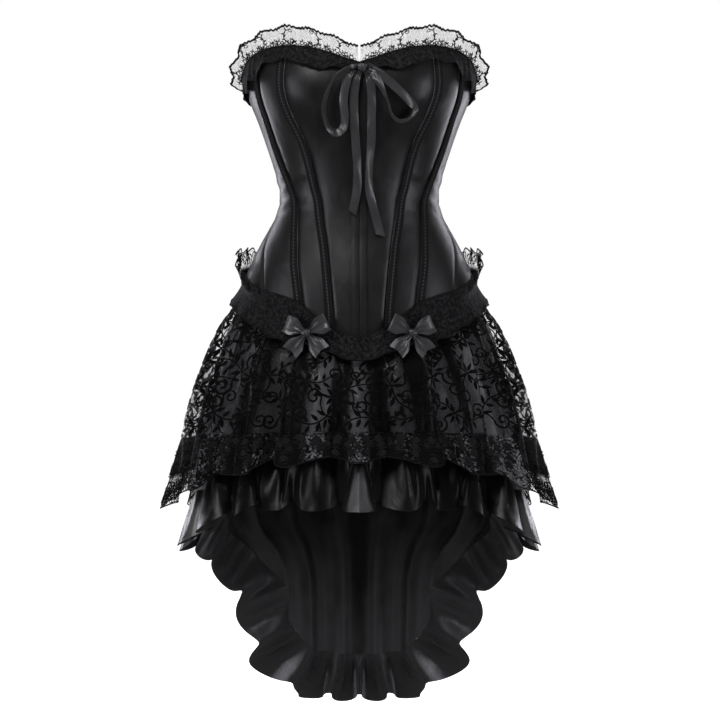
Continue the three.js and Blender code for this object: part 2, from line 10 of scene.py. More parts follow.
import bpy
import numpy as np
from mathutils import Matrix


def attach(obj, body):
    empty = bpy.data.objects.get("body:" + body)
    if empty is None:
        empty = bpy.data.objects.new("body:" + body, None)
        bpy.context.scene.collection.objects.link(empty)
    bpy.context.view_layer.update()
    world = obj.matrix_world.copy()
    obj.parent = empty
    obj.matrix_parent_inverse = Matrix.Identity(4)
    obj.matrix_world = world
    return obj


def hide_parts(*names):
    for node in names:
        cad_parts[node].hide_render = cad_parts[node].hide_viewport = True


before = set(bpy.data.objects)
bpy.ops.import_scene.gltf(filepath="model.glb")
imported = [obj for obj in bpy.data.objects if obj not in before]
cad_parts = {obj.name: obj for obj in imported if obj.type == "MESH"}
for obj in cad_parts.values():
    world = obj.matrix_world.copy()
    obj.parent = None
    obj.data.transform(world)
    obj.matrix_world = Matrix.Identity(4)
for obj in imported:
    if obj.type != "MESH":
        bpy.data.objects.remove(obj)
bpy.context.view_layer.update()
bpy.ops.object.select_all(action="DESELECT")

# %% [markdown]
# The camera stands level with the middle of the dress and well back, as the photograph's did, so the view
# hardly converges. A long lens could be guessed. This one is worked out: 3.2 m away, one pixel of a 720
# pixel frame is 1.3 mm at the waist.

# %% Camera
VIEW_DISTANCE = 3.2
VIEW_SIDE = 0.0009
VIEW_HEIGHT = -0.2106
FRAME_WIDTH = 0.936
SENSOR = 36.0

bpy.ops.object.camera_add(location=(VIEW_SIDE, -VIEW_DISTANCE, VIEW_HEIGHT), rotation=(math.pi / 2, 0, 0))
camera = bpy.context.object
camera.name = "camera"
camera.data.sensor_width = SENSOR
camera.data.lens = SENSOR * VIEW_DISTANCE / FRAME_WIDTH
bpy.context.scene.camera = camera
print("lens:", round(camera.data.lens, 1), "mm")

# %% [markdown]
# A shop's cut-out picture has a white ground, while the black satin is lit softly from the sides. A paper
# sweep lit that brightly would wash the satin grey from all round. So a glowing floor lies inside a wide
# white dome that only the camera sees, and a dim sky does little of the lighting. Two tall softboxes in
# front draw the streaks down the satin, two behind it draw its rims, and two square ones light it from above.

# %% Floor, dome and sky
FLOOR_HEIGHT = -0.72
FLOOR_RADIUS = 7.0
FLOOR_SIDES = 96
DOME_RADIUS = 9.0
DOME_SEGMENTS = 48
WHITE = (1.0, 1.0, 1.0)
PAPER = (0.9, 0.9, 0.9, 1)
PAPER_ROUGHNESS = 0.9
PAPER_GLOW = 0.98
DOME_GLOW = 1.0
SKY_STRENGTH = 0.12


def plain_material(name, colour, roughness, glow):
    material = bpy.data.materials.new(name)
    material.use_nodes = True
    shader = material.node_tree.nodes["Principled BSDF"]
    shader.inputs["Base Color"].default_value = colour
    shader.inputs["Roughness"].default_value = roughness
    shader.inputs["Emission Color"].default_value = (*WHITE, 1)
    shader.inputs["Emission Strength"].default_value = glow
    return material


bpy.ops.mesh.primitive_circle_add(
    vertices=FLOOR_SIDES, radius=FLOOR_RADIUS, fill_type="NGON", location=(0, 0, FLOOR_HEIGHT)
)
floor = bpy.context.object
floor.name = "studio_floor"
floor.data.materials.append(plain_material("paper", PAPER, PAPER_ROUGHNESS, PAPER_GLOW))
floor.visible_glossy = False
bpy.ops.mesh.primitive_uv_sphere_add(
    segments=DOME_SEGMENTS, ring_count=DOME_SEGMENTS // 2, radius=DOME_RADIUS
)
dome = bpy.context.object
dome.name = "studio_dome"
dome.data.materials.append(plain_material("dome_white", (0, 0, 0, 1), 1.0, DOME_GLOW))
dome.visible_diffuse = False
dome.visible_glossy = False
dome.visible_shadow = False

world = bpy.data.worlds.new("dim_sky")
world.use_nodes = True
sky = world.node_tree.nodes["Background"]
sky.inputs["Color"].default_value = (*WHITE, 1)
sky.inputs["Strength"].default_value = SKY_STRENGTH
bpy.context.scene.world = world
bpy.context.scene.view_settings.view_transform = "Standard"
print("floor at", FLOOR_HEIGHT, "m, sky strength", SKY_STRENGTH)

# %% Softboxes
COOL = (0.93, 0.92, 1.0)
AIM = (0, 0, -0.15)
# Each row gives a name, a place, a width, a height, a power in watts and a colour.
SOFTBOXES = [
    ("strip_left", (-2.2, -1.5, 0.0), 0.4, 2.2, 38, COOL),
    ("strip_right", (2.2, -1.5, 0.0), 0.4, 2.2, 36, COOL),
    ("rim_left", (-1.8, 1.7, 0.1), 0.4, 2.2, 34, COOL),
    ("rim_right", (1.8, 1.7, 0.1), 0.4, 2.2, 34, COOL),
    ("softbox_key", (-0.9, -2.1, 2.3), 0.8, 0.8, 50, WHITE),
    ("softbox_top", (0.1, -0.3, 2.6), 1.6, 1.6, 22, WHITE),
]


def softbox(name, place, width, height, power, colour):
    """A softbox that the camera doesn't see, turned to face the dress."""
    bpy.ops.object.light_add(type="AREA", location=place)
    light = bpy.context.object
    light.name = name
    light.data.shape = "RECTANGLE"
    light.data.size = width
    light.data.size_y = height
    light.data.energy = power
    light.data.color = colour
    light.visible_camera = False
    way = np.array(AIM) - np.array(place)
    flat = math.hypot(way[0], way[1])
    light.rotation_euler = (math.atan2(flat, -way[2]), 0, math.atan2(way[0], -way[1]) + math.pi)


for row in SOFTBOXES:
    softbox(*row)
print("softboxes:", len(SOFTBOXES))

# %% [markdown]
# The corset is fitted, so its surface is a stack of ovals that narrow at the waist, and each oval is split
# by the seams between its panels. It could be sculpted. A short table of measured ovals with a smooth curve
# through them gives every piece the same surface to lie on. Sizes are in millimetres, and angles run from
# the centre front, 0, to the centre back, 180.

# %% Smooth tables
MM = 0.001


def smooth_table(names, rows):
    """The columns of a table, each as a smooth curve of the first one."""
    rows = np.array(sorted(rows), float)
    keys = rows[:, 0]
    curves = {}
    for name, column in zip(names, rows[:, 1:].T):
        slopes = np.diff(column) / np.diff(keys)
        lean = np.concatenate([slopes[:1], (slopes[1:] + slopes[:-1]) / 2, slopes[-1:]])
        curves[name] = (keys, column, lean)
    return curves


def read(table, name, at):
    """A column's value at a key, on the smooth curve, and straight on past its ends."""
    keys, column, lean = table[name]
    at = np.asarray(at, float)
    i = np.clip(np.searchsorted(keys, at, side="right") - 1, 0, len(keys) - 2)
    span = keys[i + 1] - keys[i]
    t = np.clip((at - keys[i]) / span, 0, 1)
    curve = (
        (2 * t**3 - 3 * t**2 + 1) * column[i]
        + (t**3 - 2 * t**2 + t) * span * lean[i]
        + (3 * t**2 - 2 * t**3) * column[i + 1]
        + (t**3 - t**2) * span * lean[i + 1]
    )
    before = np.minimum(at - keys[0], 0) * lean[0]
    after = np.maximum(at - keys[-1], 0) * lean[-1]
    return curve + before + after


# %% The corset's ovals and seams
BODY = smooth_table(
    ("half", "front", "back", "princess", "side_front", "side", "side_back"),
    [
        (215, 147, 98, 78, 37.5, 57, 92, 128),
        (185, 151, 104, 80, 37.5, 57, 92, 128),
        (155, 151, 109, 82, 37, 57.5, 92, 128),
        (125, 143, 111, 84, 38, 60.5, 92, 128),
        (95, 131, 105, 85, 38, 62.5, 92, 128),
        (65, 120.5, 95, 83, 34.8, 63, 91, 127),
        (35, 111, 86, 79, 32.8, 60.3, 90, 126),
        (10, 105, 80, 75, 31.2, 55.2, 90, 125),
        (-8, 104.5, 79, 74.5, 28.3, 50.4, 89, 124),
        (-30, 112, 81, 78, 24.7, 45.6, 85, 122),
        (-60, 128, 87, 87, 19.2, 38.6, 74, 120),
        (-90, 142.5, 95, 98, 15.8, 33.8, 61, 118),
        (-120, 154, 102, 109, 13.5, 29.3, 54, 117),
        (-160, 165, 108, 119, 11.5, 25.5, 51, 116),
        (-205, 175, 113, 127, 10.8, 24.5, 50, 116),
        (-260, 183, 119, 135, 10.5, 24, 50, 116),
    ],
)
EDGES = smooth_table(
    ("neck", "hem", "over_seam", "over_edge", "under_seam"),
    [
        (0, 163, -196, -300, -333, -327),
        (8, 170, -189, -300, -334, -327),
        (18, 179.5, -175, -300, -336, -327),
        (30, 185.5, -161, -301, -342, -328),
        (41, 186.5, -151, -302, -350, -333),
        (53, 183, -141, -304, -361, -349),
        (66, 174, -129, -307, -374, -368),
        (79, 158.5, -118, -311, -386, -380),
        (92, 145, -110, -315, -393, -388),
        (108, 132, -104, -318, -396, -409),
        (122, 124, -101, -319, -398, -472),
        (136, 118, -103, -320, -398, -556),
        (150, 114, -108, -320, -398, -600),
        (165, 112, -114, -320, -398, -612),
        (180, 111, -118, -320, -398, -615),
    ],
)
FRILLS = smooth_table(
    ("neck_rise", "neck_lean", "hem_rise", "hem_fall", "hem_lean"),
    [
        (0, 20, 4, 14, 17, 0.8),
        (8, 23, 6, 15, 17, 0.8),
        (18, 24, 8, 18, 19, 1),
        (30, 26, 9, 26, 28, 1.5),
        (41, 25, 10, 25, 26, 2),
        (53, 20, 12, 22, 22, 4),
        (66, 15, 14, 27, 22, 9),
        (79, 8, 15, 39, 23, 16),
        (92, 5, 14, 44, 24, 18),
        (108, 9, 12, 42, 26, 17),
        (122, 14, 11, 38, 28, 14),
        (136, 17, 10, 34, 30, 12),
        (150, 18, 10, 32, 30, 10),
        (165, 18, 10, 31, 30, 10),
        (180, 18, 10, 30, 30, 10),
    ],
)

# %% The skirts' ovals
OVERSKIRT = smooth_table(
    ("half", "front", "back"),
    [
        (-80, 145, 95, 101),
        (-120, 162, 104, 121),
        (-160, 179, 113, 139),
        (-200, 195, 124, 156),
        (-250, 211, 143, 174),
        (-290, 220, 156, 186),
        (-330, 227, 166, 196),
    ],
)
UNDERSKIRT = smooth_table(
    ("half", "front", "back"),
    [
        (-80, 138, 88, 95),
        (-120, 152, 97, 112),
        (-160, 166, 105, 126),
        (-200, 177, 115, 140),
        (-250, 188, 131, 155),
        (-290, 197, 142, 165),
        (-340, 205, 152, 176),
        (-400, 204, 158, 184),
        (-440, 188, 158, 187),
        (-470, 159, 158, 188),
        (-500, 144, 158, 188),
        (-540, 139, 158, 187),
        (-630, 136, 158, 184),
    ],
)
print("tables read: bust half width", float(read(BODY, "half", 155)), "mm")

# %% Points on the corset
CUP_ANGLE = 33
CUP_HEIGHT = 132
CUP_LIFT = 13
CUP_SPREAD = 23
CUP_RISE = 44


def mix(a, b, share):
    return a + (b - a) * share


def ease(share):
    s = np.clip(share, 0, 1)
    return s * s * (3 - 2 * s)


def from_front(angle):
    """Angles past the centre back count back down again."""
    return 180 - np.abs(180 - np.abs(angle))


def edge(name, angle):
    return read(EDGES, name, from_front(angle))


def frill(name, angle):
    return read(FRILLS, name, from_front(angle))


def body(name, z):
    return read(BODY, name, z)


def oval_point(half, front, back, angle, z, out):
    turn = np.radians(angle)
    depth = np.where(np.cos(turn) > 0, front, back)
    return np.stack([(half + out) * np.sin(turn), -(depth + out) * np.cos(turn), z + 0 * turn], axis=-1)


def cup_lift(angle, z):
    across = (from_front(angle) - CUP_ANGLE) / CUP_SPREAD
    up = (z - CUP_HEIGHT) / CUP_RISE
    return CUP_LIFT * np.exp(-across * across - up * up)


def body_point(angle, z, out=0.0):
    """A point on the corset's outside, or out from it."""
    stands_out = out + cup_lift(angle, z)
    return oval_point(body("half", z), body("front", z), body("back", z), angle, z, stands_out)


print("cup stands out", round(float(body_point(CUP_ANGLE, CUP_HEIGHT)[1]), 1), "mm from the axis")

# %% Points on the skirts
CORSET_WALL = 2
SKIRT_WALL = 1.1
FLARE_DROP = 60
OVERSKIRT_INSET = CORSET_WALL + 2
UNDERSKIRT_INSET = OVERSKIRT_INSET + SKIRT_WALL + 1
FOLD_COUNT = 18
FOLD_DEPTH = 11
FOLD_DROP = 190
FOLD_SHARPNESS = 0.28
GROOVE_DEEPER = 1.4
BACK_CALM = 0.7
BACK_CALM_FROM = 115
BACK_CALM_OVER = 35
FINE_FOLD = 1.7
FINE_FOLD_COUNT = 47
FINE_FOLD_DROP = 90


def fold_wave(angle):
    turn = np.radians(angle)
    return np.cos(FOLD_COUNT * turn) - FOLD_SHARPNESS * np.cos(2 * FOLD_COUNT * turn)


def calm_back(angle):
    """The long back hangs smoother than the front."""
    return 1 - BACK_CALM * ease((from_front(angle) - BACK_CALM_FROM) / BACK_CALM_OVER)


def fold_out(angle, drop):
    """How far a fold stands out: broad ridges with narrower grooves between them."""
    turn = np.radians(angle)
    uneven = (1 + 0.22 * np.cos(5 * turn) + 0.14 * np.cos(11 * turn)) * calm_back(angle)
    wave = fold_wave(angle)
    deep = np.where(wave < 0, GROOVE_DEEPER * wave, wave)
    return FOLD_DEPTH * uneven * deep * ease(drop / FOLD_DROP)


def fine_fold(angle, drop):
    """Small uneven creases between the folds."""
    turn = np.radians(angle)
    wave = np.cos(FINE_FOLD_COUNT * turn + 1.6 * np.sin(9 * turn))
    uneven = 0.6 + 0.4 * np.cos(7 * turn)
    return FINE_FOLD * calm_back(angle) * wave * uneven * ease(drop / FINE_FOLD_DROP)


def skirt_point(sections, inset, angle, z, out=0.0):
    """A point on a skirt's outside. It leaves the corset's inside at the hem and flares to its own ovals."""
    drop = edge("hem", angle) - z
    share = ease(drop / FLARE_DROP)
    names = ("half", "front", "back")
    half, front, back = (mix(body(n, z) - inset, read(sections, n, z), share) for n in names)
    stands_out = out + fold_out(angle, drop) + fine_fold(angle, drop)
    return oval_point(half, front, back, angle, z, stands_out)


def over_point(angle, z, out=0.0):
    return skirt_point(OVERSKIRT, OVERSKIRT_INSET, angle, z, out)


def under_point(angle, z, out=0.0):
    return skirt_point(UNDERSKIRT, UNDERSKIRT_INSET, angle, z, out)


print("skirt folds:", FOLD_COUNT, "and small creases:", FINE_FOLD_COUNT)

# %% [markdown]
# On the real satin each fold catches the light along its ridge, and its groove goes nearly black, with more
# contrast than the shape and the softboxes give alone. Stripes could be painted on a picture. Here the extra
# light and shade are painted too, but by the folds: one function of the angle says how near each point is to
# a ridge, every sheet keeps that as an attribute, and the finishes paint a highlight on the ridges and shade
# in the grooves by it.

# %% Painted light on ridges and painted shade in grooves
RIDGE_CREST = 0.95
RIDGE_SPREAD = 0.24
RIDGE_UNEVEN = 0.18
WIDE_RIDGE = 0.5
WIDE_RIDGE_ANGLE = 52
WIDE_RIDGE_SPREAD = 13
MIDDLE_BACK_SPREAD = 3.5


def near_angle(angle, middle, spread):
    """1 at an angle from the front, and less on either side of it."""
    return np.exp(-(((from_front(angle) - middle) / spread) ** 2))


def skirt_ridge_light(points):
    """Painted light on the skirts: 1 on their ridges and 0 in their grooves, and more on some ridges than on
    others.
    """
    around = np.degrees(np.arctan2(points[:, 0], -points[:, 1]))
    spread = RIDGE_SPREAD + WIDE_RIDGE * near_angle(around, WIDE_RIDGE_ANGLE, WIDE_RIDGE_SPREAD)
    uneven = 1 - RIDGE_UNEVEN + RIDGE_UNEVEN * np.cos(5 * np.radians(around) + 1)
    crest = ease(fold_wave(around) / RIDGE_CREST + spread) * uneven
    # More down the middle back, where the satin's wrong side gets a painted dark band.
    return crest * calm_back(around) + BACK_CALM * near_angle(around, 180, MIDDLE_BACK_SPREAD)


# %% [markdown]
# Black satin is a smooth weave whose long floating threads give soft, stretched highlights, and it is never
# a flat black: the threads run in faint streaks and the cloth puckers a little. A plain glossy black could
# stand in for it, but the threads and the slight unevenness are what make it read as cloth. Each finish is
# built from the cloth's own UV map, which is in metres, so a thread is as wide on one piece as on another.

# %% Helpers for finishes


def new_finish(name):
    """A material, its node tree, its shader and the cloth's UV coordinates."""
    material = bpy.data.materials.new(name)
    material.use_nodes = True
    tree = material.node_tree
    shader = tree.nodes["Principled BSDF"]
    where = tree.nodes.new("ShaderNodeTexCoord")
    return material, tree, shader, where.outputs["UV"]


def texture(tree, kind, where, scale, **settings):
    """A texture of the cloth, stretched by a scale along and across it."""
    mapping = tree.nodes.new("ShaderNodeMapping")
    mapping.inputs["Scale"].default_value = scale
    tree.links.new(where, mapping.inputs["Vector"])
    made = tree.nodes.new(kind)
    for key, value in settings.items():
        made.inputs[key].default_value = value
    tree.links.new(mapping.outputs["Vector"], made.inputs["Vector"])
    return made


def ramp(tree, value, stops):
    """Colours at places along a value from 0 to 1."""
    made = tree.nodes.new("ShaderNodeValToRGB")
    elements = made.color_ramp.elements
    while len(elements) < len(stops):
        elements.new(0.5)
    for element, (place, colour) in zip(elements, stops):
        element.position = place
        element.color = colour
    tree.links.new(value, made.inputs["Fac"])
    return made.outputs["Color"]


# %% Sums of textures
def arithmetic(tree, operation, a, b=0.0):
    made = tree.nodes.new("ShaderNodeMath")
    made.operation = operation
    for socket, value in zip(made.inputs, (a, b)):
        if isinstance(value, (int, float)):
            socket.default_value = value
        else:
            tree.links.new(value, socket)
    return made.outputs["Value"]


def plus(tree, a, b):
    return arithmetic(tree, "ADD", a, b)


def minus(tree, a, b):
    return arithmetic(tree, "SUBTRACT", a, b)


def times(tree, a, b):
    return arithmetic(tree, "MULTIPLY", a, b)


def bump(tree, height, strength, distance, under=None):
    made = tree.nodes.new("ShaderNodeBump")
    made.inputs["Strength"].default_value = strength
    made.inputs["Distance"].default_value = distance
    tree.links.new(height, made.inputs["Height"])
    if under is not None:
        tree.links.new(under, made.inputs["Normal"])
    return made.outputs["Normal"]


def noise(tree, where, scale, detail):
    """A soft random pattern, as wide and as tall as a scale makes it."""
    return texture(tree, "ShaderNodeTexNoise", where, scale, Scale=1.0, Detail=detail).outputs["Fac"]


def grey(value, blue=1.06):
    """A grey that is a little blue, as black cloth is under daylight."""
    return (value, value, value * blue, 1)


def tones(tree, value, stops):
    """Greys at places along a value from 0 to 1."""
    return ramp(tree, value, [(place, grey(tone)) for place, tone in stops])


# %% Attributes that finishes read
def attribute(tree, name):
    made = tree.nodes.new("ShaderNodeAttribute")
    made.attribute_name = name
    return made.outputs["Fac"]


def groove_shade(tree, amount):
    """Painted shade: 0 on a cloth's ridges, rising to an amount in the grooves between them."""
    return times(tree, minus(tree, 1.0, attribute(tree, "ridge")), amount)


def height_mask(tree, start, end):
    """0 below one height up the cloth and 1 above another, or the other way round."""
    remap = tree.nodes.new("ShaderNodeMapRange")
    remap.inputs["From Min"].default_value = start
    remap.inputs["From Max"].default_value = end
    tree.links.new(attribute(tree, "height"), remap.inputs["Value"])
    return remap.outputs["Result"]


# %% [markdown]
# The dress shows its satin in several states: smooth on the corset, folded on the skirts, in lobes on the
# ruffle, and from its duller wrong side where the long back is seen from in front. One finish could serve
# all. Here one function makes them all, with its own tones and gloss for each, and for some a painted
# highlight on ridges and lobes, painted shade in the grooves and painted light at the foot.

# %% Satin
THREAD_SCALE = (1900, 150, 1)
THREAD_SHARE = 0.45
THREAD_DEPTH = 0.00025
PUCKER_SCALE = (45, 30, 1)
PUCKER_DEPTH = 0.0016
DARK_AT = 0.3
LIGHT_AT = 0.72
# The grooves reflect less by this share: painted shade on the reflection.
GROOVE_SHINE_SHADE = 0.75
# Painted light: the cloth is painted paler from the first height down to the second.
LIT_FOOT_HEIGHTS = (0.45, 0.05)
LIT_FOOT_EVEN = 0.45


def satin_finish(name, dark, light, gloss, shine, grooves=0.0, ridges=0.0, foot=0.0):
    """Satin with streaked threads and faint puckers. It may get painted shade in grooves and on ridges, and
    painted light at its foot.
    """
    material, tree, shader, where = new_finish(name)
    threads = noise(tree, where, THREAD_SCALE, 3.0)
    puckers = noise(tree, where, PUCKER_SCALE, 4.0)
    tone = plus(tree, times(tree, threads, THREAD_SHARE), times(tree, puckers, 1 - THREAD_SHARE))
    # Painted shade in the grooves.
    if grooves:
        tone = minus(tree, tone, groove_shade(tree, grooves))
    # Painted shade on the ridges, which are grooves seen from the inside, and down the middle back.
    if ridges:
        tone = minus(tree, tone, minus(tree, ridges, groove_shade(tree, ridges)))
    # Painted light, paler towards the foot.
    if foot:
        low = minus(tree, height_mask(tree, *LIT_FOOT_HEIGHTS), LIT_FOOT_EVEN)
        tone = plus(tree, tone, times(tree, low, foot))
    tree.links.new(tones(tree, tone, [(DARK_AT, dark), (LIGHT_AT, light)]), shader.inputs["Base Color"])
    rough = [(0.25, grey(gloss - 0.05, 1)), (0.8, grey(gloss + 0.09, 1))]
    tree.links.new(ramp(tree, puckers, rough), shader.inputs["Roughness"])
    puckered = bump(tree, puckers, 0.45, PUCKER_DEPTH)
    tree.links.new(bump(tree, threads, 0.35, THREAD_DEPTH, puckered), shader.inputs["Normal"])
    # Painted shade on the reflection: the grooves reflect less.
    if grooves:
        shiny = times(tree, minus(tree, 1.0, groove_shade(tree, GROOVE_SHINE_SHADE)), shine)
        tree.links.new(shiny, shader.inputs["Specular IOR Level"])
    else:
        shader.inputs["Specular IOR Level"].default_value = shine
    shader.inputs["Sheen Weight"].default_value = 0.02
    shader.inputs["Sheen Roughness"].default_value = 0.5
    return material


CORSET_SATIN = satin_finish("corset_satin", 0.0015, 0.006, 0.38, 0.27)
SKIRT_SATIN = satin_finish("skirt_satin", 0.0006, 0.002, 0.26, 0.22)
RIBBON_SATIN = satin_finish("ribbon_satin", 0.011, 0.027, 0.3, 0.38)
BRAID_TAPE = satin_finish("braid_tape", 0.0015, 0.006, 0.6, 0.12)
# These finishes paint a highlight on ridges and lobes and shade in grooves by the ridge attribute, and light
# at the foot.
FOLDED_SATIN_PAINTED = satin_finish("folded_satin_painted_shading", 0.0005, 0.125, 0.31, 0.3, grooves=0.9)
SATIN_WRONG_SIDE_PAINTED = satin_finish("satin_wrong_side_painted_shading", 0.0012, 0.014, 0.55, 0.2, ridges=0.35, foot=0.4)
RUFFLE_SATIN_PAINTED = satin_finish("ruffle_satin_painted_shading", 0.0006, 0.03, 0.3, 0.32, grooves=0.65)
RUFFLE_WRONG_SIDE_PAINTED = satin_finish("ruffle_wrong_side_painted_shading", 0.011, 0.13, 0.4, 0.45, grooves=0.5)
print("satins:", [m.name for m in bpy.data.materials if "satin" in m.name])

# %% [markdown]
# Lace and organza let light through. Cutting each thread as geometry would take millions of faces, so the
# fine net and the sheer weave are holes in the finish, while the cords, leaves and flowers on them, which
# are wide enough to cast a shape, are modelled later as thin cloth.

# %% Sheer cloths
def crossed_threads(tree, where, pitch, thread):
    """1 on the threads of a slanting net and 0 in its holes. Sizes are in metres."""
    turns = math.pi / pitch
    split = tree.nodes.new("ShaderNodeSeparateXYZ")
    tree.links.new(where, split.inputs["Vector"])
    lines = []
    for way in (1.0, -1.0):
        run = plus(tree, times(tree, split.outputs["X"], turns), times(tree, split.outputs["Y"], way * turns))
        lines.append(arithmetic(tree, "ABSOLUTE", arithmetic(tree, "SINE", run)))
    nearest = arithmetic(tree, "MINIMUM", *lines)
    return arithmetic(tree, "LESS_THAN", nearest, math.sin(math.pi * thread / pitch / 2))


def sheer_finish(name, dark, light, film, thread, pitch):
    """A sheer weave: crossed threads over a thin film that covers a share of what is behind, with a painted
    sheen on the ridges and painted shade in the grooves.
    """
    material, tree, shader, where = new_finish(name)
    # Painted sheen on the ridges and painted shade in the grooves.
    colour = tones(tree, groove_shade(tree, 1.0), [(0.15, light), (0.7, dark)])
    tree.links.new(colour, shader.inputs["Base Color"])
    shader.inputs["Roughness"].default_value = 0.5
    shader.inputs["Specular IOR Level"].default_value = 0.1
    cover = times(tree, noise(tree, where, (60, 60, 1), 3.0), 2 * film)
    alpha = arithmetic(tree, "MAXIMUM", crossed_threads(tree, where, pitch, thread), cover)
    tree.links.new(alpha, shader.inputs["Alpha"])
    return material


def lace_finish(name, dark, light, net=None, thread=0.00011, pitch=0.0012, grooves=0.0):
    """Dense mottled lace, with painted shade in any grooves. Where net gives two heights, it thins between
    them to an open net.
    """
    material, tree, shader, where = new_finish(name)
    cells = texture(tree, "ShaderNodeTexVoronoi", where, (330, 330, 1), Scale=1.0, Randomness=0.8)
    cloud = noise(tree, where, (170, 170, 1), 5.0)
    rough_weave = plus(tree, times(tree, cells.outputs["Distance"], 0.55), times(tree, cloud, 0.7))
    # Painted shade in the grooves.
    shade = plus(tree, rough_weave, groove_shade(tree, grooves)) if grooves else rough_weave
    tree.links.new(tones(tree, shade, [(0.3, light), (0.75, dark)]), shader.inputs["Base Color"])
    shader.inputs["Roughness"].default_value = 0.7
    shader.inputs["Specular IOR Level"].default_value = 0.05
    shader.inputs["Sheen Weight"].default_value = 0.01
    tree.links.new(bump(tree, rough_weave, 1.0, 0.0014), shader.inputs["Normal"])
    if net:
        dense = minus(tree, 1.0, height_mask(tree, *net))
        alpha = arithmetic(tree, "MAXIMUM", crossed_threads(tree, where, pitch, thread), dense)
        tree.links.new(alpha, shader.inputs["Alpha"])
    return material


# The organza's colour is a painted sheen on its ridges and painted shade in its grooves.
ORGANZA = sheer_finish("black_organza_painted_shading", 0.0008, 0.06, film=0.02, thread=0.00005, pitch=0.0009)
NECK_LACE = lace_finish("neck_lace", 0.003, 0.018, net=(0.505, 0.53))
HEM_LACE = lace_finish("hem_lace", 0.002, 0.016)
HIP_LACE = lace_finish("hip_lace", 0.002, 0.016, net=(0.66, 0.74))
# The trim lace gets painted shade in its grooves, so its ridges look lit.
TRIM_LACE_PAINTED = lace_finish("trim_lace_painted_shading", 0.0008, 0.16, net=(0.84, 0.99), thread=0.0003, grooves=0.5)
TRIM_EDGE_LACE = lace_finish("trim_edge_lace", 0.0008, 0.02, net=(0.5, 0.42), thread=0.0001)
print("laces:", [m.name for m in bpy.data.materials if "lace" in m.name])

# %% Yarn, flock and thread
def matte_finish(name, dark, light, grain, depth):
    """Matte yarn or flock: a fine grain and a soft velvet edge."""
    material, tree, shader, where = new_finish(name)
    fibres = noise(tree, where, (grain, grain, grain), 3.0)
    tree.links.new(tones(tree, fibres, [(0.3, dark), (0.75, light)]), shader.inputs["Base Color"])
    shader.inputs["Roughness"].default_value = 0.85
    shader.inputs["Specular IOR Level"].default_value = 0.05
    shader.inputs["Sheen Weight"].default_value = 0.01
    tree.links.new(bump(tree, fibres, 0.6, depth), shader.inputs["Normal"])
    return material


BRAID_YARN = matte_finish("braid_yarn", 0.003, 0.014, 2400, 0.0004)
FLOCK = matte_finish("flock", 0.0004, 0.0015, 3000, 0.0002)
CORD_YARN = matte_finish("cord_yarn", 0.002, 0.008, 2000, 0.0003)
ROSETTE_YARN = matte_finish("rosette_yarn", 0.001, 0.012, 900, 0.0008)
STITCH_THREAD = matte_finish("stitch_thread", 0.02, 0.06, 4000, 0.0001)
print("finishes in all:", len(bpy.data.materials))

# %% [markdown]
# Every panel, skirt and frill starts as a flat grid of cloth, as a pattern piece does. It could be draped by
# simulation, but these folds have to fall where the real dress has them. So each grid's points are placed by
# a function of how far across and up the cloth they are, and Solidify gives it its thickness.

# %% A sheet of cloth
SIDES = ((1, "right"), (-1, "left"))
SMOOTH_ANGLE = math.radians(50)
SEWN = {}


def grid_lengths(points, columns, rows):
    """Lengths along each row and up each column of a grid of points."""
    net = points.reshape(rows + 1, columns + 1, 3)
    across = np.zeros(net.shape[:2])
    across[:, 1:] = np.cumsum(np.linalg.norm(np.diff(net, axis=1), axis=2), axis=1)
    up = np.zeros(net.shape[:2])
    up[1:] = np.cumsum(np.linalg.norm(np.diff(net, axis=0), axis=2), axis=0)
    return across, up


def set_uv(mesh, layer, run):
    """Gives each point of a mesh its place on the flat cloth."""
    corners = np.empty(len(mesh.loops), int)
    mesh.loops.foreach_get("vertex_index", corners)
    layer.data.foreach_set("uv", run[corners].ravel())


def set_attribute(mesh, name, values):
    mesh.attributes.new(name, "FLOAT", "POINT").data.foreach_set("value", values)


def lay_grid(name, place, columns, rows, side=1):
    """A flat grid of cloth, laid at place(u, v), with its UV map in metres, its height and its ridges for
    painted light.
    """
    bpy.ops.object.select_all(action="DESELECT")
    bpy.ops.mesh.primitive_grid_add(x_subdivisions=columns, y_subdivisions=rows, size=2)
    piece = bpy.context.object
    piece.name = name
    mesh = piece.data
    flat = np.empty(len(mesh.vertices) * 3)
    mesh.vertices.foreach_get("co", flat)
    flat = flat.reshape(-1, 3)
    order = np.lexsort((flat[:, 0].round(6), flat[:, 1].round(6)))
    u = (1 + side * flat[:, 0]) / 2
    v = (1 + flat[:, 1]) / 2
    points = place(u, v) * MM
    points[:, 0] *= side
    across, up = grid_lengths(points[order], columns, rows)
    run = np.empty((len(points), 2))
    run[order, 0] = (across - across[:, -1:] / 2).ravel()
    run[order, 1] = up.ravel()
    mesh.vertices.foreach_set("co", points.ravel())
    set_uv(mesh, mesh.uv_layers.active, run)
    set_attribute(mesh, "height", v)
    # The ridge attribute sets the painted light and shade at each point.
    set_attribute(mesh, "ridge", place.ridges(u, v) if hasattr(place, "ridges") else skirt_ridge_light(points))
    mesh.update()
    return piece, float(across[:, -1].max()), float(up[-1].max())


# %% Thickness and sewing
def thicken(piece, wall, inward=1.0):
    """Gives a sheet its wall, in millimetres, and smooths its shading."""
    bpy.context.view_layer.objects.active = piece
    solidify = piece.modifiers.new("thickness", "SOLIDIFY")
    solidify.thickness = wall * MM
    solidify.offset = -inward
    solidify.material_offset = len(piece.data.materials) - 1
    bpy.ops.object.modifier_apply(modifier=solidify.name)
    bpy.ops.object.shade_smooth_by_angle(angle=SMOOTH_ANGLE)


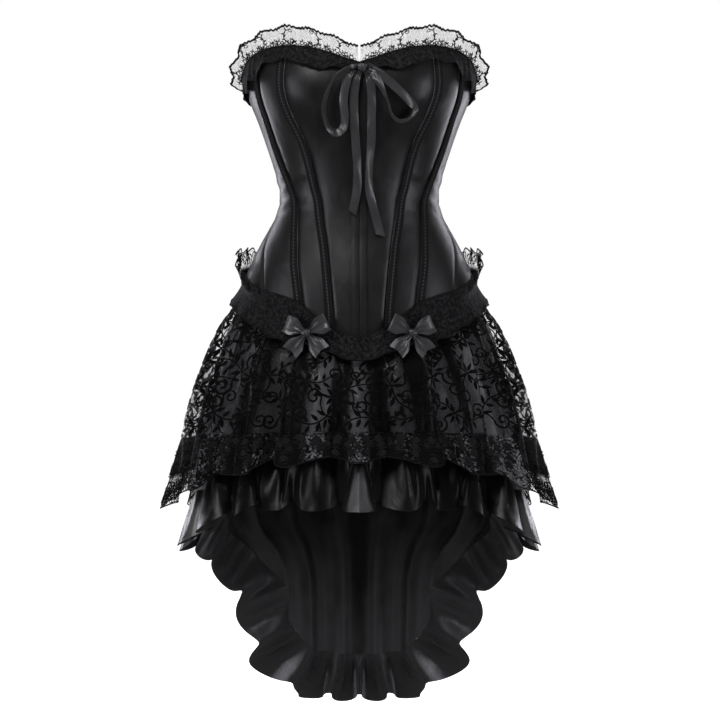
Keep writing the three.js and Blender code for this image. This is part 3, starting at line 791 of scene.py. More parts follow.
def sew(name, place, columns, rows, finish, slot, held, hangs_from, wall, side=1, trims=(), inside=None):
    """A sheet that stands for a node of the frame, from 0 to 1 across and up it."""
    piece, width, length = lay_grid(name + "_cloth", place, columns, rows, side)
    piece.data.materials.append(finish)
    if inside:
        piece.data.materials.append(inside)
    thicken(piece, wall)
    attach(piece, "root")
    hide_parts(name)
    SEWN[name] = (width, length)


def sew_pair(name, place, *args, hangs_from=(), trims=None, **settings):
    """The right-hand piece and its mirror image, each with the trims that a function makes for its side."""
    sewn_on = [trims(side, word) if trims else () for side, word in SIDES]
    for (side, word), made in zip(SIDES, sewn_on):
        hangs = [n.format(side=word) for n in hangs_from]
        sew(f"{name}_{word}", place, *args, hangs_from=hangs, side=side, trims=made, **settings)


def sizes_of(name):
    """A sewn piece's width and length in metres, to print."""
    return [round(size, 3) for size in SEWN[name]]


# %% [markdown]
# Flock, cords, flowers and stitches are small shapes that repeat over the cloth. They could be printed on it
# as a picture. Here each is drawn once as thin flat cloth, in millimetres, and copies are laid on the sheet
# by walking that far across and up it, so a leaf bends over a fold and keeps its size.

# %% Small flat shapes
LEAF_LEAST = 0.35


def strip_shape(points, widths):
    """A flat strip along points, as rows of two points and the faces between them."""
    points = np.array(points, float)
    ahead = np.gradient(points, axis=0)
    ahead /= np.linalg.norm(ahead, axis=1, keepdims=True)
    across = np.stack([-ahead[:, 1], ahead[:, 0]], axis=1) * np.array(widths, float)[:, None] / 2
    rows = np.stack([points - across, points + across], axis=1).reshape(-1, 2)
    faces = [(2 * i, 2 * i + 2, 2 * i + 3, 2 * i + 1) for i in range(len(points) - 1)]
    return rows, faces


def leaf(x, y, turn, length, width):
    """A lens-shaped leaf that starts at a point and runs out at an angle."""
    share = np.linspace(0, 1, 5)
    a = math.radians(turn)
    points = [(x + length * s * math.cos(a), y + length * s * math.sin(a)) for s in share]
    widths = np.maximum(width * np.sin(np.pi * share**0.8) ** 0.8, LEAF_LEAST)
    return strip_shape(points, widths)


def curl(x, y, radius, turn, way, turns, line):
    """A spiral that winds in to a point from outside it, with a small bulb at its end."""
    share = np.linspace(0, 1, 18)
    a = math.radians(turn) + way * share * turns * 2 * math.pi
    reach = radius * (1 - share) ** 0.8 + 0.9
    points = np.stack([x + reach * np.cos(a), y + reach * np.sin(a)], axis=1)
    return strip_shape(points, line * (1 + 0.5 * share**6))


def stem(points, line):
    """A smooth line through a few points."""
    points = np.array(points, float)
    key = np.linspace(0, 1, len(points))
    fine = np.linspace(0, 1, 3 * len(points))
    parts = []
    for column in points.T:
        table = smooth_table(("value",), list(zip(key, column)))
        parts.append(read(table, "value", fine))
    return strip_shape(np.stack(parts, axis=1), np.full(len(fine), line))


def ring(x, y, radius_x, radius_y, line, count=8):
    """A closed ring."""
    a = np.linspace(0, 2 * np.pi, count, endpoint=False)
    inner = np.stack([x + (radius_x - line / 2) * np.cos(a), y + (radius_y - line / 2) * np.sin(a)], axis=1)
    outer = np.stack([x + (radius_x + line / 2) * np.cos(a), y + (radius_y + line / 2) * np.sin(a)], axis=1)
    rows = np.stack([inner, outer], axis=1).reshape(-1, 2)
    faces = [(2 * i, 2 * i + 1, (2 * i + 3) % (2 * count), (2 * i + 2) % (2 * count)) for i in range(count)]
    return rows, faces


def blossom(x, y, reach, petals):
    """A small flower: petals round a ring."""
    parts = [leaf(x, y, 90 + 360 * i / petals, reach, reach * 0.62) for i in range(petals)]
    return gather_shapes(parts + [ring(x, y, reach * 0.28, reach * 0.28, reach * 0.2, 6)])


def gather_shapes(parts):
    """Several shapes as one."""
    points, faces = [], []
    for part_points, part_faces in parts:
        start = sum(len(p) for p in points)
        points.append(part_points)
        faces.extend(tuple(i + start for i in face) for face in part_faces)
    return np.concatenate(points), faces


# %% Laying shapes on a sheet
NUDGE = 1e-3
WALK_STEPS = 49
WALK_SPARE = 2.2
SPOT_SHIFT = 0.037


def unit(vectors):
    return vectors / np.linalg.norm(vectors, axis=-1, keepdims=True)


def run_along(line):
    """The length walked along a line, up to each of its points."""
    return np.concatenate([[0], np.cumsum(np.linalg.norm(np.diff(line, axis=0), axis=1))])


def spot_frame(place, u, v, reach):
    """Shares across and up a sheet as functions of millimetres from one spot on it."""
    def walk(centre, line):
        ends = line(np.array([centre - NUDGE, centre + NUDGE]))
        span = WALK_SPARE * reach * 2 * NUDGE / np.linalg.norm(ends[1] - ends[0])
        shares = np.linspace(centre - span, centre + span, WALK_STEPS)
        run = run_along(line(shares))
        return run - np.interp(centre, shares, run), shares

    across = walk(u, lambda shares: place(shares, np.full(len(shares), v)))
    up = walk(v, lambda shares: place(np.full(len(shares), u), shares))
    return across, up


def lay_points(place, u, v, shape, turn, size, flip):
    """A shape's points as shares across and up a sheet."""
    a = math.radians(turn)
    points = shape * [flip * size, size]
    x = points[:, 0] * math.cos(a) - points[:, 1] * math.sin(a)
    y = points[:, 0] * math.sin(a) + points[:, 1] * math.cos(a)
    across, up = spot_frame(place, u, v, max(float(np.abs(np.stack([x, y])).max()), 1.0))
    return np.interp(x, across[0], across[1]), np.interp(y, up[0], up[1])


def surface_normals(place, u, v):
    side = place(u + NUDGE, v) - place(u - NUDGE, v)
    rise = place(u, v + NUDGE) - place(u, v - NUDGE)
    return unit(np.cross(side, rise))


# %% Trims made of laid shapes
def finish_trim(piece, finish, wall):
    """A trim's finish, and its wall, half of it on each side."""
    piece.data.materials.append(finish)
    thicken(piece, wall, inward=0.0)
    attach(piece, "root")
    return piece


def applique(name, place, shape, spots, lift, wall, finish, side=1, low=0.0, high=1.0):
    """Copies of a flat shape on a sheet. Each spot is (u, v, turn, size, flip)."""
    points, faces = shape
    shares = [lay_points(place, u, v, points, turn, size, flip) for u, v, turn, size, flip in spots]
    u = np.concatenate([s[0] for s in shares])
    v = np.clip(np.concatenate([s[1] for s in shares]), low, high)
    where = (place(u, v) + surface_normals(place, u, v) * lift) * MM
    where[:, 0] *= side
    rows = []
    for i, spot in enumerate(spots):
        turned = spot[4] * side < 0
        rows += [tuple(j + i * len(points) for j in (face[::-1] if turned else face)) for face in faces]
    mesh = bpy.data.meshes.new(name)
    mesh.from_pydata([tuple(p) for p in where], [], rows)
    piece = bpy.data.objects.new(name, mesh)
    bpy.context.collection.objects.link(piece)
    shift = np.repeat(np.arange(len(spots)), len(points))[:, None] * SPOT_SHIFT
    set_uv(mesh, mesh.uv_layers.new(name="UVMap"), np.tile(points * MM, (len(spots), 1)) + shift)
    bpy.ops.object.select_all(action="DESELECT")
    piece.select_set(True)
    return finish_trim(piece, finish, wall)


# %% [markdown]
# The corset's panels are satin over a stiff lining, laced in tight, so they lie smooth over the bust and
# crumple a little at the waist. Each is cut between two seams. One smooth tube with seams drawn on it would
# be quicker, but real panels dip into their seams, and that dip is what catches the light.

# %% Corset panels
SEAM_GAP = 0.3
SEAM_DIP = 0.9
SEAM_DIP_WIDTH = 3.0
WAIST_CREASE = 1.1
WAIST_HEIGHT = 4
WAIST_SPREAD = 30
CREASED_FROM = 26
CREASED_OVER = 18
PANEL_CROWN = 2.0
PANEL_SEAMS = (0, "princess", "side_front", "side", "side_back", 180)
PANEL_ROWS = 84
PANEL_PASSES = 8


def seam_angle(name, z):
    return np.full_like(z, name, dtype=float) if isinstance(name, (int, float)) else body(name, z)


def crown_sink(angle, z):
    """How far a panel's face curves in towards the seams on both sides of it."""
    sink = np.zeros_like(z)
    for left, right in zip(PANEL_SEAMS[:-1], PANEL_SEAMS[1:]):
        start = seam_angle(left, z)
        share = (angle - start) / (seam_angle(right, z) - start)
        from_middle = share if left == 0 else 1 - share if right == 180 else 2 * share - 1
        sink += np.where((share >= 0) & (share < 1), PANEL_CROWN * from_middle**4, 0)
    return sink


def waist_creases(angle, z):
    """Small slanting creases where the laced waist folds the cloth."""
    at_waist = np.exp(-(((z - WAIST_HEIGHT) / WAIST_SPREAD) ** 2))
    near = at_waist * ease((from_front(angle) - CREASED_FROM) / CREASED_OVER)
    slant = np.sin(z / 3.1 + angle * 0.16 + 0.9 * np.sin(angle * 0.11))
    cross = np.sin(z / 5.3 - angle * 0.10)
    return WAIST_CREASE * near * (0.6 * slant + 0.4 * cross)


def panel(left, right):
    def place(u, v):
        angle = np.zeros_like(u)
        z = np.zeros_like(u)
        for _ in range(PANEL_PASSES):
            trim = np.degrees(SEAM_GAP / 2 / body("front", z))
            start = seam_angle(left, z) + (0 if left == 0 else trim)
            end = seam_angle(right, z) - (0 if right == 180 else trim)
            angle = mix(start, end, u)
            z = mix(edge("hem", angle), edge("neck", angle), v)
        reach = np.radians(end - start) * body("half", z)
        near_left = 0 if left == 0 else np.exp(-((u * reach / SEAM_DIP_WIDTH) ** 2))
        near_right = 0 if right == 180 else np.exp(-(((1 - u) * reach / SEAM_DIP_WIDTH) ** 2))
        dip = SEAM_DIP * (near_left + near_right) + crown_sink(angle, z)
        return body_point(angle, z, waist_creases(angle, z) - dip)

    return place


# Each row gives a panel, the seams on its left and right, its columns and what it hangs from.
PANELS = [
    ("corset_front", 0, "princess", 22, ["placket_{side}"]),
    ("corset_side_front", "princess", "side_front", 20, ["corset_front_{side}"]),
    ("corset_side", "side_front", "side", 24, ["corset_side_front_{side}"]),
    ("corset_side_back", "side", "side_back", 30, ["corset_side_{side}"]),
    ("corset_back", "side_back", 180, 30, ["corset_side_back_{side}"]),
]
for name, left, right, columns, neighbours in PANELS:
    sew_pair(name, panel(left, right), columns, PANEL_ROWS, CORSET_SATIN, "satin", "stretched",
             hangs_from=neighbours, wall=CORSET_WALL)
print("corset panels:", len(SEWN))

# %% Strips on the corset
STRIP_LIFT = 0.6
STRIP_WALL = 1
STRIP_CROWN = 0.3
STRIP_PASSES = 4
PLACKET_NEAR = 0.9
PLACKET_FAR = 10
PLACKET_MARGIN = 3
BRAID_WIDTH = 10
BRAID_MARGIN = 4
BRAID_LIFT = 0.1


def strip(seam, near, far, margin, lift=STRIP_LIFT):
    """A narrow strip beside a seam, from one distance across it to another."""
    def place(u, v):
        angle = np.zeros_like(u)
        z = np.zeros_like(u)
        for _ in range(STRIP_PASSES):
            angle = seam_angle(seam, z) + np.degrees(mix(near, far, u) / body("half", z))
            z = mix(edge("hem", angle) + margin, edge("neck", angle) - margin, v)
        crown = STRIP_CROWN * np.sin(np.pi * u)
        return body_point(angle, z, lift + STRIP_WALL + crown - crown_sink(angle, z))

    return place


# %% [markdown]
# Each braid is a woven tape with a scalloped gimp down both edges and a row of pale stitches down its
# middle. Bump alone would do at a distance. Small loops and stitches laid on the tape also catch the light.

# %% Gimp loops and stitches
LOOP_PITCH = 4.1
STITCH_PITCH = 4.2
BRAID_STITCH_TURN = 12
ROW_ENDS = (0.01, 0.99)
GIMP_LOOP = ring(0, 0, 1.9, 1.5, 1.1, 7)
STITCH = strip_shape([(0, -1.3), (0, 0), (0, 1.3)], [0.4, 0.6, 0.4])
BRAID_STITCH = strip_shape([(0, -1.1), (0, 0), (0, 1.1)], [1.0, 2.3, 1.0])


def even_row(place, u, pitch, turn=0):
    """Spots at a pitch, in millimetres, up a sheet at one share across it."""
    length = run_along(place(np.full(200, u), np.linspace(*ROW_ENDS, 200)))[-1]
    return [(u, v, turn, 1.0, 1) for v in np.linspace(*ROW_ENDS, max(2, int(length / pitch)))]


def braid_trims(name, place, side, word):
    loops = even_row(place, 0.17, LOOP_PITCH) + even_row(place, 0.83, LOOP_PITCH)
    stitches = even_row(place, 0.5, STITCH_PITCH, BRAID_STITCH_TURN)
    return [
        applique(f"{name}_gimp_{word}", place, GIMP_LOOP, loops, 0.5, 0.9, BRAID_YARN, side),
        applique(f"{name}_stitches_{word}", place, BRAID_STITCH, stitches, 0.25, 0.3, STITCH_THREAD,
                 side),
    ]


for name, seam in (("braid_front", "princess"), ("braid_side", "side_front")):
    tape = strip(seam, 0, BRAID_WIDTH, BRAID_MARGIN, lift=BRAID_LIFT)
    sew_pair(name, tape, 8, 120, BRAID_TAPE, "braid", "laid", hangs_from=["corset_side_front_{side}"],
             wall=STRIP_WALL, trims=lambda side, word: braid_trims(name, tape, side, word))
print("braid:", sizes_of("braid_front_right"), "m, gimp loops", LOOP_PITCH, "mm apart")

# %% Placket and its stitching
placket = strip(0, PLACKET_NEAR, PLACKET_FAR, PLACKET_MARGIN)


def placket_trims(side, word):
    rows = even_row(placket, 0.9, STITCH_PITCH) + even_row(placket, 0.35, STITCH_PITCH)
    return [applique(f"placket_stitches_{word}", placket, STITCH, rows, 0.1, 0.25, CORD_YARN, side)]


sew_pair("placket", placket, 6, 90, CORSET_SATIN, "satin", "laid", hangs_from=["corset_front_{side}"],
         wall=STRIP_WALL, trims=placket_trims)
print("placket:", sizes_of("placket_right"), "m")

# %% [markdown]
# The frills are lace gathered on a seam, so they ripple more the farther they are from it. The neckline's
# stands up and leans out, and the hem's lies flat on the front and stands away over the hips. They could be
# flat bands with a wavy edge, but then they would cast no shadow and show no depth from the side.

# %% Even gathers
def even_angles(seam, start, end, samples=60):
    """A function that shares the seam between two angles into stretches of even length."""
    angles = np.linspace(start, end, samples + 1)
    run = run_along(seam(angles))
    return lambda share: np.interp(share * run[-1], run, angles)


# %% Lace frills on the corset
LACE_WALL = 0.4
LACE_BARE = 0.6
LACE_BRAIDED = 2.0
LACE_OFF = 0.8
NECK_SLIT = 0.55
NECK_BRAIDED_TO = 66
HEM_BRAIDED_TO = 34
HIP_FROM = 58
HIP_OVER = 24
NECK_FALL = smooth_table(
    ("fall",),
    [
        (0, 9), (8, 14), (16, 21), (22, 25), (29, 19), (38, 19),
        (47, 20), (56, 31), (66, 33), (80, 28), (95, 16), (180, 14),
    ],
)


def lace_lift(angle, braided_to):
    """How far lace stands off the satin: more where it crosses the braids."""
    return LACE_OFF + mix(LACE_BRAIDED, LACE_BARE, ease((angle - braided_to) / 8))


# %% The neckline's frill
def neck_frill(start, end, waves):
    """Lace from its low edge, up over the neckline's seam at half height, to its high edge."""
    angle_at = even_angles(lambda a: body_point(a, edge("neck", a)), start, end)

    def place(u, w):
        v = 2 * w - 1
        angle = angle_at(u)
        above = v > 0
        wave = np.cos(2 * np.pi * waves * u)
        small = np.sin(2 * np.pi * waves * 3 * u + 2.0)
        tiny = np.cos(2 * np.pi * waves * 6 * u)
        angle = angle + NECK_SLIT * ease(np.clip(v, 0, 0.4) / 0.4) * np.exp(-from_front(angle) / 1.5)
        ripple = np.where(above, 3.0, 1.5) * wave * v * v + 0.7 * small * np.abs(v)
        rise = frill("neck_rise", angle) * v * (1 + 0.05 * wave + 0.03 * tiny)
        fall = read(NECK_FALL, "fall", from_front(angle)) * v * (1 - 0.1 * wave)
        lean = frill("neck_lean", angle) * np.where(above, v, -0.3 * v)
        z = edge("neck", angle) + np.where(above, rise, fall)
        return body_point(angle, z, lace_lift(angle, NECK_BRAIDED_TO) + lean + ripple)

    return place


# %% The hem's frill
def hem_frill(start, end, waves):
    """Lace from its low edge on the overskirt, up over the corset's hem at half height, to its high edge."""
    angle_at = even_angles(lambda a: body_point(a, edge("hem", a)), start, end)

    def place(u, w):
        v = 2 * w - 1
        angle = angle_at(u)
        hip = ease((angle - HIP_FROM) / HIP_OVER)
        wave = np.cos(2 * np.pi * waves * u)
        hem = edge("hem", angle)
        lift = lace_lift(angle, HEM_BRAIDED_TO)
        scallop = 1 - 0.16 * hip * (0.5 + 0.5 * np.cos(6 * np.pi * waves * u)) * v
        rise = frill("hem_rise", angle) * v * scallop
        stand = lift + frill("hem_lean", angle) * v + mix(0.9, 4.0, hip) * (1 + wave) * v * v
        fall = frill("hem_fall", angle) * v * (1 - 0.07 * wave)
        hang = OVERSKIRT_INSET + lift - 2 * v + 0.9 * (1 + wave) * v * v
        up = body_point(angle, hem + rise, stand)
        down = over_point(angle, hem + fall, hang)
        return np.where((v >= 0)[:, None], up, down)

    return place


# %% [markdown]
# Above its seam the neckline lace is an open net with a cord along its scalloped edge, a row of small
# flowers at its foot and a sprig every 4 cm. Below the seam it is dense. Only the net is a finish: cord,
# flowers and sprigs are laid on it as cloth.

# %% Cords, flowers and sprigs
CORD_WIDTH = 1.6
CORD_WALL = 1.0
ACROSS_ENDS = (0.02, 0.98)


def edging(name, place, height, width, wall, columns, finish, side=1, lift=0.0):
    """A narrow cord along a sheet, at a height that may wander with the share across it."""
    def along(u, w):
        v = height(u) + 0 * u
        up = unit(place(u, v + NUDGE) - place(u, v - NUDGE))
        return place(u, v) + up * ((w - 0.5) * width)[:, None] + surface_normals(place, u, v) * lift

    piece, _, _ = lay_grid(name, along, columns, 2, side)
    return finish_trim(piece, finish, wall)


def even_across(place, v, pitch, turn=0, size=1.0, flips=False, wander=0.0):
    """Spots at a pitch, in millimetres, across a sheet at one share up it, each a little unlike the last."""
    samples = np.linspace(*ACROSS_ENDS, 400)
    run = run_along(place(samples, np.full(400, v)))
    count = max(2, round(run[-1] / pitch))
    shares = np.interp((np.arange(count) + 0.5) / count * run[-1], run, samples)
    spots = []
    for i, u in enumerate(shares):
        spot_turn = turn + 18 * math.sin(1.9 * i)
        spot_size = size * (1 + 0.12 * math.sin(3.1 * i))
        spots.append((u, v + wander * math.sin(2.3 * i), spot_turn, spot_size, -1 if flips and i % 2 else 1))
    return spots


LACE_FLOWER = gather_shapes([
    ring(0, 0.6, 2.5, 2.1, 1.0),
    ring(-4.2, -0.8, 1.8, 1.5, 0.9),
    ring(4.2, -0.8, 1.8, 1.5, 0.9),
    leaf(0.6, 2.4, 55, 3.6, 1.5),
    leaf(-0.6, 2.4, 125, 3.6, 1.5),
    stem([(-7, -2.4), (0, -3.2), (7, -2.4)], 1.1),
])
LACE_SPRIG = gather_shapes([
    stem([(0, 0), (3.2, 5), (3.0, 11), (-2, 15.5), (-8, 17)], 1.2),
    ring(-7.5, 14.6, 2.1, 1.7, 0.8),
    leaf(3.2, 5, 20, 4.6, 1.8),
    leaf(3.2, 8, 130, 4.6, 1.8),
    leaf(2.4, 12, 30, 4.6, 1.8),
    leaf(-2, 15.5, 80, 4, 1.6),
])
print("a lace flower has", len(LACE_FLOWER[1]), "faces, a sprig", len(LACE_SPRIG[1]))

# %% Neckline lace
def neck_trims(part, place, columns, side, word):
    name = f"neck_{part}"
    scallops = columns // 3
    flowers = even_across(place, 0.56, 11, wander=0.012, flips=True)
    flowers += even_across(place, 0.6, 24, size=0.8, wander=0.02)
    sprigs = even_across(place, 0.57, 39, flips=True)

    def top(u):
        return 0.975 - 0.022 * np.abs(np.cos(np.pi * scallops * u))

    def foot(u):
        return 0.5

    return [
        edging(f"{name}_cord_{word}", place, top, 2.6, 1.3, 2 * columns, CORD_YARN, side),
        edging(f"{name}_foot_cord_{word}", place, foot, CORD_WIDTH, CORD_WALL, columns, CORD_YARN,
               side, lift=0.4),
        applique(f"{name}_flowers_{word}", place, LACE_FLOWER, flowers, 0.35, 0.6, CORD_YARN, side,
                 low=0.42, high=0.95),
        applique(f"{name}_sprigs_{word}", place, LACE_SPRIG, sprigs, 0.35, 0.6, CORD_YARN, side,
                 low=0.45, high=0.97),
    ]


for part, place, columns, hung in (
    ("front", neck_frill(0.0, 94, 7), 160, ["corset_front_{side}", "corset_side_{side}"]),
    ("back", neck_frill(94, 180, 4), 112, ["corset_back_{side}"]),
):
    sew_pair(f"neck_lace_{part}", place, columns, 22, NECK_LACE, "lace", "gathered", hangs_from=hung,
             wall=LACE_WALL, trims=lambda side, word: neck_trims(part, place, columns, side, word))
print("neckline lace:", sizes_of("neck_lace_front_right"), "m")

# %% [markdown]
# The hem lace is dense and flat on the front, with a cord along both edges. Over the hips it stands up
# in sheer loops edged with cord, which show against the light at each side.

# %% Hem lace
HIP_LOOP = gather_shapes([
    ring(0, 0, 5.2, 6.4, 1.0, 11),
    ring(0, -1, 2.4, 3.2, 0.8),
    stem([(-5, 3), (0, 6.5), (5, 3)], 0.8),
    leaf(0, 2, 90, 4, 1.6),
    leaf(-1, -6, 250, 4, 1.6),
    leaf(1, -6, 290, 4, 1.6),
])


def hem_trims(part, place, columns, side, word):
    made = []
    for at, height in (("low", 0.012), ("top", 0.985)):
        made.append(edging(f"hem_{part}_{at}_cord_{word}", place, lambda u: height, CORD_WIDTH, CORD_WALL,
                           columns, CORD_YARN, side))
    if part == "back":
        loops = even_across(place, 0.86, 12.5, flips=True)
        made.append(applique(f"hip_loops_{word}", place, HIP_LOOP, loops, 0.3, 0.6, CORD_YARN, side,
                             low=0.6, high=0.98))
    return made


for part, place, columns, lace, hung in (
    ("front", hem_frill(0.0, 60, 5), 112, HEM_LACE, ["corset_front_{side}", "corset_side_{side}"]),
    ("back", hem_frill(60, 180, 8), 176, HIP_LACE, ["corset_back_{side}"]),
):
    sew_pair(f"hem_lace_{part}", place, columns, 22, lace, "lace", "gathered", hangs_from=hung,
             wall=LACE_WALL, trims=lambda side, word: hem_trims(part, place, columns, side, word))
print("hem lace:", sizes_of("hem_lace_front_right"), "m")

# %% [markdown]
# Both skirts are gathered into the corset's hem. The satin one is short in front and long behind, and the
# sheer one over it is nearly level. They could hang by simulation. Here the folds are one function of the
# angle, shared by both skirts and both edges, so the layers follow each other and never cross. Where the
# satin skirt shows its inside, its inner face has the wrong side's finish.

# %% Skirts
SKIRT_TUCK = 7
SKIRT_CLOTH = 0.6
FRONT_TO = 60
SIDE_TO = 120


def gore(surface, seam, start, end):
    """A piece of a skirt between two angles, from its seam up to just inside the corset's hem."""
    def place(u, w):
        angle = mix(start, end, u)
        hem = edge("hem", angle)
        low = edge(seam, angle)
        return surface(angle, mix(low, hem, w * (1 + SKIRT_TUCK / (hem - low))))

    return place


sew("skirt_front", gore(under_point, "under_seam", -FRONT_TO, FRONT_TO), 120, 36, FOLDED_SATIN_PAINTED, "satin",
    "gathered", ["corset_front_right", "corset_front_left"], wall=SKIRT_CLOTH)
sew_pair("skirt_side", gore(under_point, "under_seam", FRONT_TO, SIDE_TO), 60, 44, FOLDED_SATIN_PAINTED, "satin",
         "gathered", hangs_from=["corset_side_back_{side}"], wall=SKIRT_CLOTH, inside=SATIN_WRONG_SIDE_PAINTED)
sew_pair("skirt_back", gore(under_point, "under_seam", SIDE_TO, 180), 60, 60, SKIRT_SATIN, "satin",
         "gathered", hangs_from=["corset_back_{side}"], wall=SKIRT_CLOTH, inside=SATIN_WRONG_SIDE_PAINTED)
print("skirt back:", sizes_of("skirt_back_right"), "m")

# %% [markdown]
# The overskirt's organza carries a raised flock pattern of leafy vines with curling tendrils. It could be a
# drawn mask in the finish. As thin flock on the cloth it keeps a crisp edge in a close view and follows
# every fold. One repeat is a spray of leaves with a vine out to each side, drawn in millimetres.

# %% One repeat of the flock
SPRAY_TURNS = (75, 120, 165, 250, 335)
FLOCK_UNIT = gather_shapes(
    [leaf(2.5 * math.cos(math.radians(t)), 2.5 * math.sin(math.radians(t)), t, 14, 4.4) for t in SPRAY_TURNS]
    + [
        stem([(0, 0), (-9, 1), (-17, 8)], 2.0),
        curl(-24, 17, 11, -52, 1, 1.35, 2.5),
        stem([(0, 0), (7, -7), (10, -17)], 2.0),
        curl(19.5, -23, 10.5, 150, 1, 1.35, 2.5),
        stem([(0, 0), (11, 7), (23, 10), (36, 7)], 1.9),
        leaf(11.5, 8.5, 78, 13, 5.2),
        leaf(12.5, 5.5, -38, 12, 5),
        leaf(23, 11.5, 64, 13, 5.2),
        leaf(25, 8, -50, 12, 5),
        leaf(36, 7, -12, 13, 5.2),
        stem([(0, 0), (-9, -10), (-20, -17), (-33, -19)], 1.9),
        leaf(-10.5, -9, 172, 12, 5),
        leaf(-9.5, -12, 262, 13, 5.2),
        leaf(-21, -15.5, 142, 12, 5),
        leaf(-21.5, -19, 236, 13, 5.2),
        leaf(-33, -19, 178, 13, 5.2),
        stem([(11, 7), (9, 17), (13, 27)], 1.6),
        leaf(13, 27, 60, 12, 4.8),
        leaf(9.5, 19, 125, 11, 4.6),
    ]
)
FLOCK_PITCH = (60.0, 51.0)
FLOCK_SIZE = 0.95
FLOCK_LIFT = 0.35
FLOCK_WALL = 0.4


def flock_spots(place, start_row):
    """Places of the repeat over a gore, each row shifted half a repeat, with a little wander."""
    line = place(np.linspace(0, 1, 200), np.full(200, 0.3))
    rise = place(np.full(60, 0.5), np.linspace(0, 1, 60))
    across = max(1, round(run_along(line)[-1] / FLOCK_PITCH[0]))
    rows = max(2, round(run_along(rise)[-1] / FLOCK_PITCH[1]))
    spots = []
    for j in range(rows):
        for i in range(across):
            shift = 0.25 if (j + start_row) % 2 else -0.25
            turn = 35 * math.sin(2.1 * i + 3.3 * j) + (180 if (i + j) % 3 == 0 else 0)
            size = FLOCK_SIZE + 0.07 * math.sin(5 * i + j)
            flip = 1 if (i + 2 * j) % 2 else -1
            spots.append(((i + 0.5 + shift) / across, (j + 0.5) / rows * 0.95, turn, size, flip))
    return spots


def flocked(name, place, side=1, start_row=0):
    spots = flock_spots(place, start_row)
    return applique(name, place, FLOCK_UNIT, spots, FLOCK_LIFT, FLOCK_WALL, FLOCK, side,
                    low=0.005, high=0.955)


print("one repeat of flock:", len(FLOCK_UNIT[1]), "faces")

# %% The flocked overskirt
ORGANZA_CLOTH = 0.3
BACK_TO = 360 - SIDE_TO

over_front = gore(over_point, "over_seam", -FRONT_TO, FRONT_TO)
over_side = gore(over_point, "over_seam", FRONT_TO, SIDE_TO)
over_back = gore(over_point, "over_seam", SIDE_TO, BACK_TO)
sew("overskirt_front", over_front, 132, 30, ORGANZA, "organza", "gathered",
    ["corset_front_right", "corset_front_left"], wall=ORGANZA_CLOTH,
    trims=[flocked("flock_front", over_front)])
sew_pair("overskirt_side", over_side, 66, 30, ORGANZA, "organza", "gathered",
         hangs_from=["corset_side_back_{side}"], wall=ORGANZA_CLOTH,
         trims=lambda side, word: [flocked(f"flock_side_{word}", over_side, side, start_row=1)])
sew("overskirt_back", over_back, 132, 30, ORGANZA, "organza", "gathered",
    ["corset_back_right", "corset_back_left"], wall=ORGANZA_CLOTH,
    trims=[flocked("flock_back", over_back)])
print("overskirt front:", sizes_of("overskirt_front"), "m")

# %% [markdown]
# Below each skirt's seam runs a gathered strip, lace on the overskirt and satin on the long skirt. A flat
# band with a wave added would look stamped. So each strip hangs square to its seam, and flares, rolls and
# creases with waves that one table keeps where the real ruffle's lobes are. A second table says how far each
# lobe swings and how much painted light it gets.

# %% Gathered edges
CALM_ANGLE = 117
CALM_SPREAD = 12
CALM_SHARE = 0.9


def seam_place(surface, seam, angle):
    """A point on a skirt's seam, as if the skirt had no folds."""
    drop = edge("hem", angle) - edge(seam, angle)
    return surface(angle, edge(seam, angle), -fold_out(angle, drop))


def freedom(seam, angle):
    """How freely a strip stands out: less where the skirt's seam drops steeply at each side."""
    return 1 - CALM_SHARE * near_angle(angle, CALM_ANGLE, CALM_SPREAD) if seam == "under_seam" else 1.0


# Where the ruffle's lobes meet, in degrees round from the front.
RUFFLE_NOTCHES = (7.4, 22.6, 38.4, 54, 69.7, 88.6, 104, 114, 124, 137, 152, 167, 180)
RUFFLE_PHASE = smooth_table(
    ("phase",), [(0.0, 0.0)] + [(angle, (2 * i + 1) * math.pi) for i, angle in enumerate(RUFFLE_NOTCHES)]
)
# How far the ruffle's lobes swing in and out, how deep the creases between them are, and how much painted
# light they get.
RUFFLE_SWING = smooth_table(
    ("swing", "crease", "lit"),
    [
        (0, 1.4, 1.6, 1.2), (8, 0.9, 1.5, 1.2), (15, 0.5, 1.4, 0.6), (25, 0.8, 1.6, 0.1),
        (38, 1, 1.8, 0.1), (48, 0.7, 1.4, 0.3), (58, 1.1, 2, 1), (79, 0.9, 1.6, 1.5),
        (90, 0.6, 1.6, 1.5), (100, 0.7, 2, 1.2), (119, 1.1, 2.6, 0.4), (130, 1.4, 3.2, 0.5),
        (144, 1.6, 3.6, 1), (160, 1.2, 3.2, 1), (180, 1.3, 3.6, 1),
    ],
)
LACE_WAVES = 30


def lace_phase(angle):
    turn = np.radians(angle)
    return LACE_WAVES * turn + 0.8 * np.sin(7 * turn)


def ruffle_phase(angle):
    return read(RUFFLE_PHASE, "phase", angle)


LACE_EDGE = {
    "phase": lace_phase, "swing": lambda angle: 1.0, "crease": lambda angle: 2.2,
    "flare": 0.3, "wave": 7, "lobe": 0.04, "roll": 2.5,
}
RUFFLE_EDGE = {
    "phase": ruffle_phase, "swing": lambda angle: read(RUFFLE_SWING, "swing", angle),
    "crease": lambda angle: read(RUFFLE_SWING, "crease", angle),
    "flare": 0.3, "wave": 10, "lobe": 0.11, "roll": 6.5,
}
print("ruffle lobes on each side:", len(RUFFLE_NOTCHES))

# %% Gathered strips
FOLD_KEPT = 0.6
HUMP_REACH = 1.15
HUMP_FLATNESS = 0.7


def small_creases(phase):
    return np.sin(3 * phase + 1.2 + 2 * np.sin(phase))


